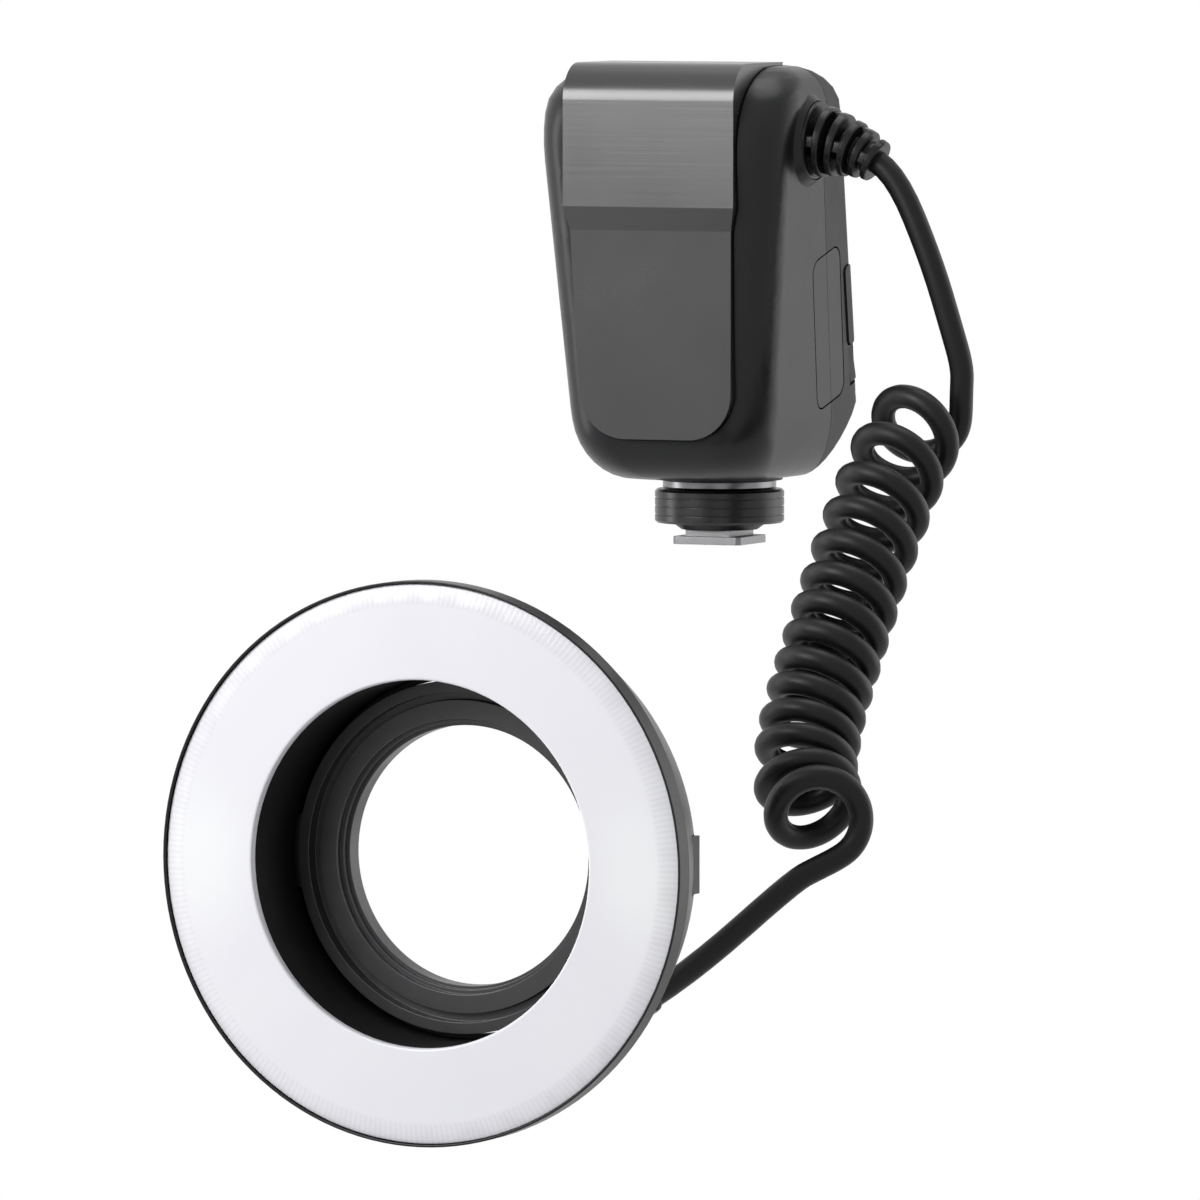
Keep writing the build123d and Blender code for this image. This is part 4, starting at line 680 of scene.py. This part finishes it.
def spun_outline(form, outline, steps=56):
    """Turns an outline of radius and height about Z."""
    verts = [form.verts.new((radius, 0, height)) for radius, height in outline]
    edges = [form.edges.new(pair) for pair in zip(verts, verts[1:])]
    bmesh.ops.spin(
        form, geom=verts + edges, cent=(0, 0, 0), axis=(0, 0, 1), angle=math.tau, steps=steps,
        use_merge=True)
    bmesh.ops.remove_doubles(form, verts=form.verts, dist=SPIN_GAP)
    bmesh.ops.recalc_face_normals(form, faces=form.faces)


def bent_along(form, long, bend):
    """Bends everything above Z 0 along an arc that falls away from Y."""
    radius = long / bend
    for vert in form.verts:
        if vert.co.z > 0:
            turn = bend * vert.co.z / long
            centre = Vector((0, -radius * (1 - math.cos(turn)), radius * math.sin(turn)))
            level = Vector((vert.co.x, vert.co.y, 0))
            vert.co = centre + Matrix.Rotation(turn, 3, "X") @ level


def ribbed_boot(name, place, sizes, material, body_node):
    """A bent rubber boot with rounded ribs and bridges that alternate between them."""
    long, bend, base, tip, core, ribs, base_thick, bridge = sizes
    step = (long - base_thick) / ribs
    rib = step * RIB_SHARE
    outline = [(core, -BOOT_ROOT), (base, -BOOT_ROOT), (base, base_thick)]
    gaps = []
    for index in range(ribs):
        radius = base + (tip - base) * (index + 1) / ribs
        high = base_thick + step * (index + 1)
        low = high - rib
        below = low - (step - rib)
        outline += [(core, below), (core, low), (radius, low), (radius - rib * RIB_TAPER, high)]
        gaps.append((below, low, radius))
    outline += [(core * BOOT_LIP, long)]
    form = bmesh.new()
    spun_outline(form, outline)
    round_edges(form, sharp_edges(form, RIB_EDGE), rib * RIB_ROUNDING, 3)
    for index, (low, high, radius) in enumerate(gaps):
        turn = Matrix.Rotation(math.radians(90 * (index % 2)), 4, "Z")
        size = (radius * BRIDGE_REACH, bridge, (high - low) * BRIDGE_OVERLAP, 1)
        middle = Matrix.Translation((0, 0, (low + high) / 2))
        block = bmesh.ops.create_cube(form, size=1, matrix=middle @ turn @ Matrix.Diagonal(size))
        edges = list({edge for vert in block["verts"] for edge in vert.link_edges})
        round_edges(form, edges, bridge * BRIDGE_ROUNDING, 2)
    bent_along(form, long, bend)
    bmesh.ops.transform(form, matrix=local_frame(place), verts=form.verts)
    bmesh.ops.recalc_face_normals(form, faces=form.faces)
    piece = mesh_object(form, name, material)
    even_shading(piece)
    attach(piece, UNIT)
    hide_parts(body_node)
    return piece


# The curly cord

def along_table(rows, turn):
    """The value of a table at this count of turns, eased from row to row."""
    for before, after in zip(rows, rows[1:]):
        if turn <= after[0]:
            share = (turn - before[0]) / (after[0] - before[0])
            share = min(max(share, 0), 1)
            return before[1] + (after[1] - before[1]) * share * share * (3 - 2 * share)
    return rows[-1][1]


def coil_heading(turn):
    """Direction of the coil's axis at this count of turns."""
    tilt = math.radians(along_table(COIL_TILTS, turn))
    yaw = math.radians(along_table(COIL_YAWS, turn))
    level = math.cos(tilt)
    return Vector((level * math.sin(yaw), -level * math.cos(yaw), -math.sin(tilt)))


def coil_points(radius, points_per_turn):
    """Control points of the curly part, spaced evenly on its turns.

    The curve runs inside its control points, so they stand out further than the radius.
    """
    stride = COIL_STEPS // points_per_turn
    half = math.pi / points_per_turn
    reach = radius / ((3 + math.cos(2 * half)) / 4 + math.cos(half)) * 2
    axis_point = Vector(COIL_START)
    step = 1 / COIL_STEPS
    points = []
    for index in range(round(COIL_TURNS * COIL_STEPS) + 1):
        turn = index * step
        heading = coil_heading(turn)
        bend = heading.angle(coil_heading(turn + step)) / step
        pitch = along_table(COIL_PITCHES, turn) * MM + radius * bend
        side = Vector((0, 0, 1)).cross(heading).normalized()
        down = -heading.cross(side)
        angle = math.tau * turn
        if index % stride == 0:
            out = reach * along_table(COIL_SWELLS, turn)
            points.append(axis_point + (side * math.cos(angle) + down * math.sin(angle)) * out)
        axis_point = axis_point + heading * (pitch * step)
    return points


class RINGFLASH_OT_stage(bpy.types.Operator):
    """Camera, lights, sky and floor"""

    bl_idname = "ringflash.stage"
    bl_label = "Stage"

    def execute(self, context):
        studio = context.scene.ringflash_studio
        azimuth, elevation = studio.azimuth, studio.elevation
        right = Vector((math.cos(azimuth), math.sin(azimuth), 0))
        level = math.cos(elevation)
        back = Vector((
            math.sin(azimuth) * level, -math.cos(azimuth) * level, math.sin(elevation)))
        aim = right * AIM_RIGHT + back.cross(right) * AIM_UP
        data = bpy.data.cameras.new("Camera")
        data.lens = studio.lens
        data.sensor_width = 36
        data.clip_start = 0.05
        data.clip_end = 30
        camera = bpy.data.objects.new("Camera", data)
        camera.location = aim + back * studio.distance
        camera.rotation_euler = back.to_track_quat("Z", "Y").to_euler()
        context.scene.collection.objects.link(camera)
        context.scene.camera = camera
        self.make_floor()
        self.make_sky(context, studio)
        self.make_lights(context, studio, aim)
        context.scene.view_settings.view_transform = "Standard"
        return {"FINISHED"}

    def make_floor(self):
        """A wide pale floor well below the flash, clear from underneath."""
        form = bmesh.new()
        bmesh.ops.create_grid(form, x_segments=1, y_segments=1, size=FLOOR_HALF)
        bmesh.ops.translate(form, verts=form.verts, vec=(0, 0, FLOOR_Z))
        material = plain_material("Floor", FLOOR_PALE, roughness=0.9)
        tree = material.node_tree
        matt = tree.nodes["Principled BSDF"].outputs["BSDF"]
        white = tree.nodes.new("ShaderNodeEmission")
        white.inputs["Color"].default_value = WHITE
        above = shader_mix(tree, seen_white(tree), matt, white.outputs["Emission"])
        clear = tree.nodes.new("ShaderNodeBsdfTransparent").outputs["BSDF"]
        under = tree.nodes.new("ShaderNodeNewGeometry").outputs["Backfacing"]
        surface = tree.nodes["Material Output"].inputs["Surface"]
        link(tree, shader_mix(tree, under, above, clear), surface)
        mesh_object(form, "Floor", material)

    def make_sky(self, context, studio):
        """An even pale sky, white where it is seen."""
        world = bpy.data.worlds.new("Sky")
        world.use_nodes = True
        context.scene.world = world
        tree = world.node_tree
        soft = tree.nodes["Background"]
        soft.inputs["Color"].default_value = SKY_TINT
        soft.inputs["Strength"].default_value = studio.sky_strength
        white = tree.nodes.new("ShaderNodeBackground")
        white.inputs["Color"].default_value = WHITE
        white.inputs["Strength"].default_value = 1
        blend = shader_mix(
            tree, seen_white(tree), soft.outputs["Background"], white.outputs["Background"])
        link(tree, blend, tree.nodes["World Output"].inputs["Surface"])

    def make_lights(self, context, studio, aim):
        """Large soft lights in front, at the left, at the right and overhead.

        Each row is a name, a power, a place and the light's width and height.
        """
        rows = (
            ("Key", studio.key_power, (-0.36, -0.76, 0.33), (0.5, 0.42)),
            ("Left", studio.left_power, (-0.9, -0.25, 0.15), (0.22, 1.1)),
            ("Rim", studio.rim_power, (0.7, 0.66, 0.15), (0.7, 1.2)),
            ("Top", studio.top_power, (0.1, 0.15, 1.1), (0.8, 0.6)),
        )
        for name, power, spot, (wide, tall) in rows:
            data = bpy.data.lights.new(name, "AREA")
            data.shape = "RECTANGLE"
            data.size = wide
            data.size_y = tall
            data.energy = power
            lamp = bpy.data.objects.new(name, data)
            lamp.location = spot
            lamp.rotation_euler = (Vector(spot) - aim).to_track_quat("Z", "Y").to_euler()
            context.scene.collection.objects.link(lamp)


class RINGFLASH_OT_cord(bpy.types.Operator):
    """The curly cord, one unbroken line from the control unit to the ring head, and its boots"""

    bl_idname = "ringflash.cord"
    bl_label = "Curly cord"

    def execute(self, context):
        look = context.scene.ringflash_cord
        places = [Vector(point) for point in UPPER_ROUTE]
        places += coil_points(look.coil_radius, look.points_per_turn)
        places += [Vector(point) for point in LOWER_ROUTE]
        curve = bpy.data.curves.new("cord", "CURVE")
        curve.dimensions = "3D"
        spline = curve.splines.new("NURBS")
        spline.points.add(len(places) - 1)
        for point, place in zip(spline.points, places):
            point.co = (*place, 1)
        spline.order_u = 3
        spline.use_endpoint_u = True
        spline.resolution_u = 5
        curve.bevel_depth = look.diameter / 2
        curve.bevel_resolution = 7
        curve.use_fill_caps = True
        curve.materials.append(soft_rubber("Cord rubber", look.colour, look.roughness))
        cord = bpy.data.objects.new("cord", curve)
        context.scene.collection.objects.link(cord)
        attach(cord, UNIT)
        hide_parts("cord_upper_lead", "cord_coil", "cord_lower_lead")
        gloss = soft_rubber("Boot rubber", BOOT_BLACK, roughness=0.26)
        unit_boot = ribbed_boot(
            "strain_relief_unit", UNIT_BOOT_PLACE, UNIT_BOOT_SIZES, gloss, "cord_boot_upper")
        ring_boot = ribbed_boot(
            "strain_relief_ring", RING_BOOT_PLACE, RING_BOOT_SIZES, gloss, "cord_boot_ring")
        return {"FINISHED"}


class RINGFLASH_OT_housing(bpy.types.Operator):
    """Shells, front panel, battery cap, release pad, port cover and lamp"""

    bl_idname = "ringflash.housing"
    bl_label = "Housing"

    def execute(self, context):
        look = context.scene.ringflash_body
        edge = look.edge_radius
        shell = shell_seam(moulded_plastic(
            "Satin shell", look.shell_colour, look.shell_roughness, depth=0.000006))
        rear = shell_seam(moulded_plastic(
            "Rear shell", look.rear_colour, roughness=0.44, grain=2000, depth=0.00002))
        panel = brushed_plastic("Brushed panel", look.panel_colour, roughness=0.25)
        pad = moulded_plastic("Release pad", look.pad_colour, roughness=0.5)
        flap = soft_rubber("Port flap", FLAP_GREY, roughness=0.5)
        lamp = moulded_plastic(
            "Red lamp", LAMP_RED, roughness=0.15, depth=0.000003, specular=0.5)
        dressed_copy("front_shell", shell, edge)
        dressed_copy("rear_shell", rear, edge)
        dressed_copy("front_panel", panel, edge * 1.6, edge_angle=12)
        dressed_copy("battery_cap", shell, edge * 0.6)
        dressed_copy("battery_release", pad, edge * 0.6)
        dressed_copy("port_cover", flap, edge * 0.5)
        dressed_copy("indicator_lamp", lamp, edge * 0.5)
        return {"FINISHED"}


class RINGFLASH_OT_shoe(bpy.types.Operator):
    """Foot, lock ring, neck collar, contacts and screws"""

    bl_idname = "ringflash.shoe"
    bl_label = "Hot shoe foot"

    def execute(self, context):
        lock = turned_metal("Lock ring black", LOCK_BLACK, roughness=0.3, metallic=0.35)
        collar = turned_metal("Collar", COLLAR_GREY, roughness=0.3)
        steel = turned_metal("Foot steel", FOOT_GREY, roughness=0.4)
        gold = turned_metal("Contact gold", GOLD, roughness=0.22)
        block = moulded_plastic("Foot block", BLOCK_BLACK, roughness=0.45)
        screw = turned_metal("Screw steel", SCREW_GREY, roughness=0.32)
        dressed_copy("lock_ring", lock, 0.05 * MM)
        dressed_copy("neck_collar", collar, 0.3 * MM)
        dressed_copy("neck_flange", block, 0.1 * MM)
        dressed_copy("hot_shoe_foot", steel, 0.15 * MM)
        dressed_copy("foot_block", block, 0.2 * MM)
        dressed_copy("shoe_contacts", gold, 0.1 * MM)
        finish_node("lock_pin", steel)
        finish_node("foot_screws", screw)
        dressed_copy("case_screws", screw, 0.06 * MM)
        dressed_copy("ring_screws", screw, 0.06 * MM)
        return {"FINISHED"}


class RINGFLASH_OT_rear(bpy.types.Operator):
    """Display, keys, dial and switch on the rear face"""

    bl_idname = "ringflash.rear"
    bl_label = "Rear face"

    def execute(self, context):
        key = moulded_plastic("Key rubber", KEY_GREY, roughness=0.46, depth=0.00001)
        bezel = moulded_plastic("Display frame", BEZEL_BLACK, roughness=0.25, depth=0.000004)
        window = clear_glass("Display window", WINDOW_GREY, alpha=0.35)
        dial = moulded_plastic("Dial", DIAL_GREY, roughness=0.36)
        keys = [f"function_key_{number}" for number in (1, 2, 3, 4)]
        keys += ["mode_key", "menu_key", "test_button", "power_switch", "set_button"]
        for name in keys:
            dressed_copy(name, key, 0.25 * MM)
        dressed_copy("display_bezel", bezel, 0.3 * MM)
        dressed_copy("display_window", window, 0.1 * MM)
        dressed_copy("select_dial", dial, 0.2 * MM)
        finish_node("display_module", liquid_crystal("Display", roughness=0.25))
        return {"FINISHED"}


class RINGFLASH_OT_ring(bpy.types.Operator):
    """Ring head: casing, cover, diffuser, bore, adapter ring and release buttons"""

    bl_idname = "ringflash.ring"
    bl_label = "Ring head"

    def execute(self, context):
        look = context.scene.ringflash_ring
        casing = moulded_plastic(
            "Ring casing", look.casing_colour, roughness=0.34, depth=0.000006)
        opal = opal_plastic("Opal diffuser", look)
        bore = moulded_plastic(
            "Bore", look.bore_colour, roughness=0.7, grain=1600, depth=0.00002, specular=0.08)
        adapter = turned_metal(
            "Adapter ring", look.adapter_colour, roughness=0.36, centre=RING_CENTRE,
            along_z=False, metallic=0.25)
        button = moulded_plastic("Release button", BUTTON_GREY, roughness=0.42)
        turned_copy("ring_casing", casing, 0.25 * MM)
        turned_copy("ring_rear_cover", casing, 0.2 * MM)
        turned_copy("diffuser", opal, 0.3 * MM, blend=DIFFUSER_BLEND)
        turned_copy("bore_sleeve", bore, 0.15 * MM)
        turned_copy("adapter_ring", adapter, 0.12 * MM)
        for side in ("left", "right"):
            dressed_copy("release_slider_" + side, button, 0.15 * MM)
        return {"FINISHED"}


class RINGFLASH_OT_insides(bpy.types.Operator):
    """Pieces inside the unit and the ring head"""

    bl_idname = "ringflash.insides"
    bl_label = "Insides"

    def execute(self, context):
        board = circuit_board("Circuit board")
        grey = moulded_plastic("Inner plastic", INNER_GREY, roughness=0.5)
        can = moulded_plastic("Capacitor sleeve", SLEEVE_BLUE, roughness=0.25)
        silver = turned_metal(
            "Reflector", REFLECTOR_SILVER, roughness=0.12, centre=RING_CENTRE, along_z=False,
            lines=REFLECTOR_LINES)
        glass = clear_glass("Flash tube glass", TUBE_CLEAR, alpha=0.4)
        spring = turned_metal(
            "Spring steel", SPRING_GREY, roughness=0.25, centre=RING_CENTRE, along_z=False)
        gold = turned_metal("Battery contact", GOLD, roughness=0.25)
        pack = moulded_plastic("Battery pack", PACK_BLACK, roughness=0.4)
        rows = (
            (board, ("main_circuit_board", "button_board", "ring_circuit_board")),
            (grey, (
                "transformer", "dial_encoder", "battery_bay", "port_socket", "slider_guide")),
            (can, ("flash_capacitor",)),
            (silver, ("reflector_tray",)),
            (glass, ("flash_tube_left", "flash_tube_right", "focus_lamps")),
            (spring, ("slider_springs",)),
            (gold, ("battery_contacts",)),
            (pack, ("battery_pack",)),
        )
        for material, names in rows:
            for name in names:
                finish_node(name, material)
        return {"FINISHED"}


class RINGFLASH_PT_builder(bpy.types.Panel):
    """Lists the flash's pieces and their settings"""

    bl_idname = "RINGFLASH_PT_builder"
    bl_label = "Ring Flash"
    bl_space_type = "VIEW_3D"
    bl_region_type = "UI"
    bl_category = "Ring Flash"

    def draw(self, context):
        layout = self.layout
        for group in SETTINGS:
            box = layout.box()
            values = getattr(context.scene, group)
            for name in values.__annotations__:
                box.prop(values, name)
        for operator in OPERATORS:
            layout.operator(operator.bl_idname)


OPERATORS = (
    RINGFLASH_OT_stage,
    RINGFLASH_OT_cord,
    RINGFLASH_OT_housing,
    RINGFLASH_OT_shoe,
    RINGFLASH_OT_rear,
    RINGFLASH_OT_ring,
    RINGFLASH_OT_insides,
)
SETTINGS = {
    "ringflash_studio": StudioSettings,
    "ringflash_cord": CordFinish,
    "ringflash_body": BodyFinish,
    "ringflash_ring": RingFinish,
}
CLASSES = (*SETTINGS.values(), *OPERATORS, RINGFLASH_PT_builder)


def register():
    """Registers the classes and hangs the settings on the scene."""
    for item in CLASSES:
        bpy.utils.register_class(item)
    for name, group in SETTINGS.items():
        setattr(bpy.types.Scene, name, PointerProperty(type=group))


def unregister():
    """Takes the settings and the classes away again."""
    for name in SETTINGS:
        delattr(bpy.types.Scene, name)
    for item in reversed(CLASSES):
        bpy.utils.unregister_class(item)


def main():
    """Builds the flash."""
    register()
    bpy.ops.ringflash.stage()
    bpy.ops.ringflash.cord()
    bpy.ops.ringflash.housing()
    bpy.ops.ringflash.shoe()
    bpy.ops.ringflash.rear()
    bpy.ops.ringflash.ring()
    bpy.ops.ringflash.insides()


if __name__ == "__main__":
    main()
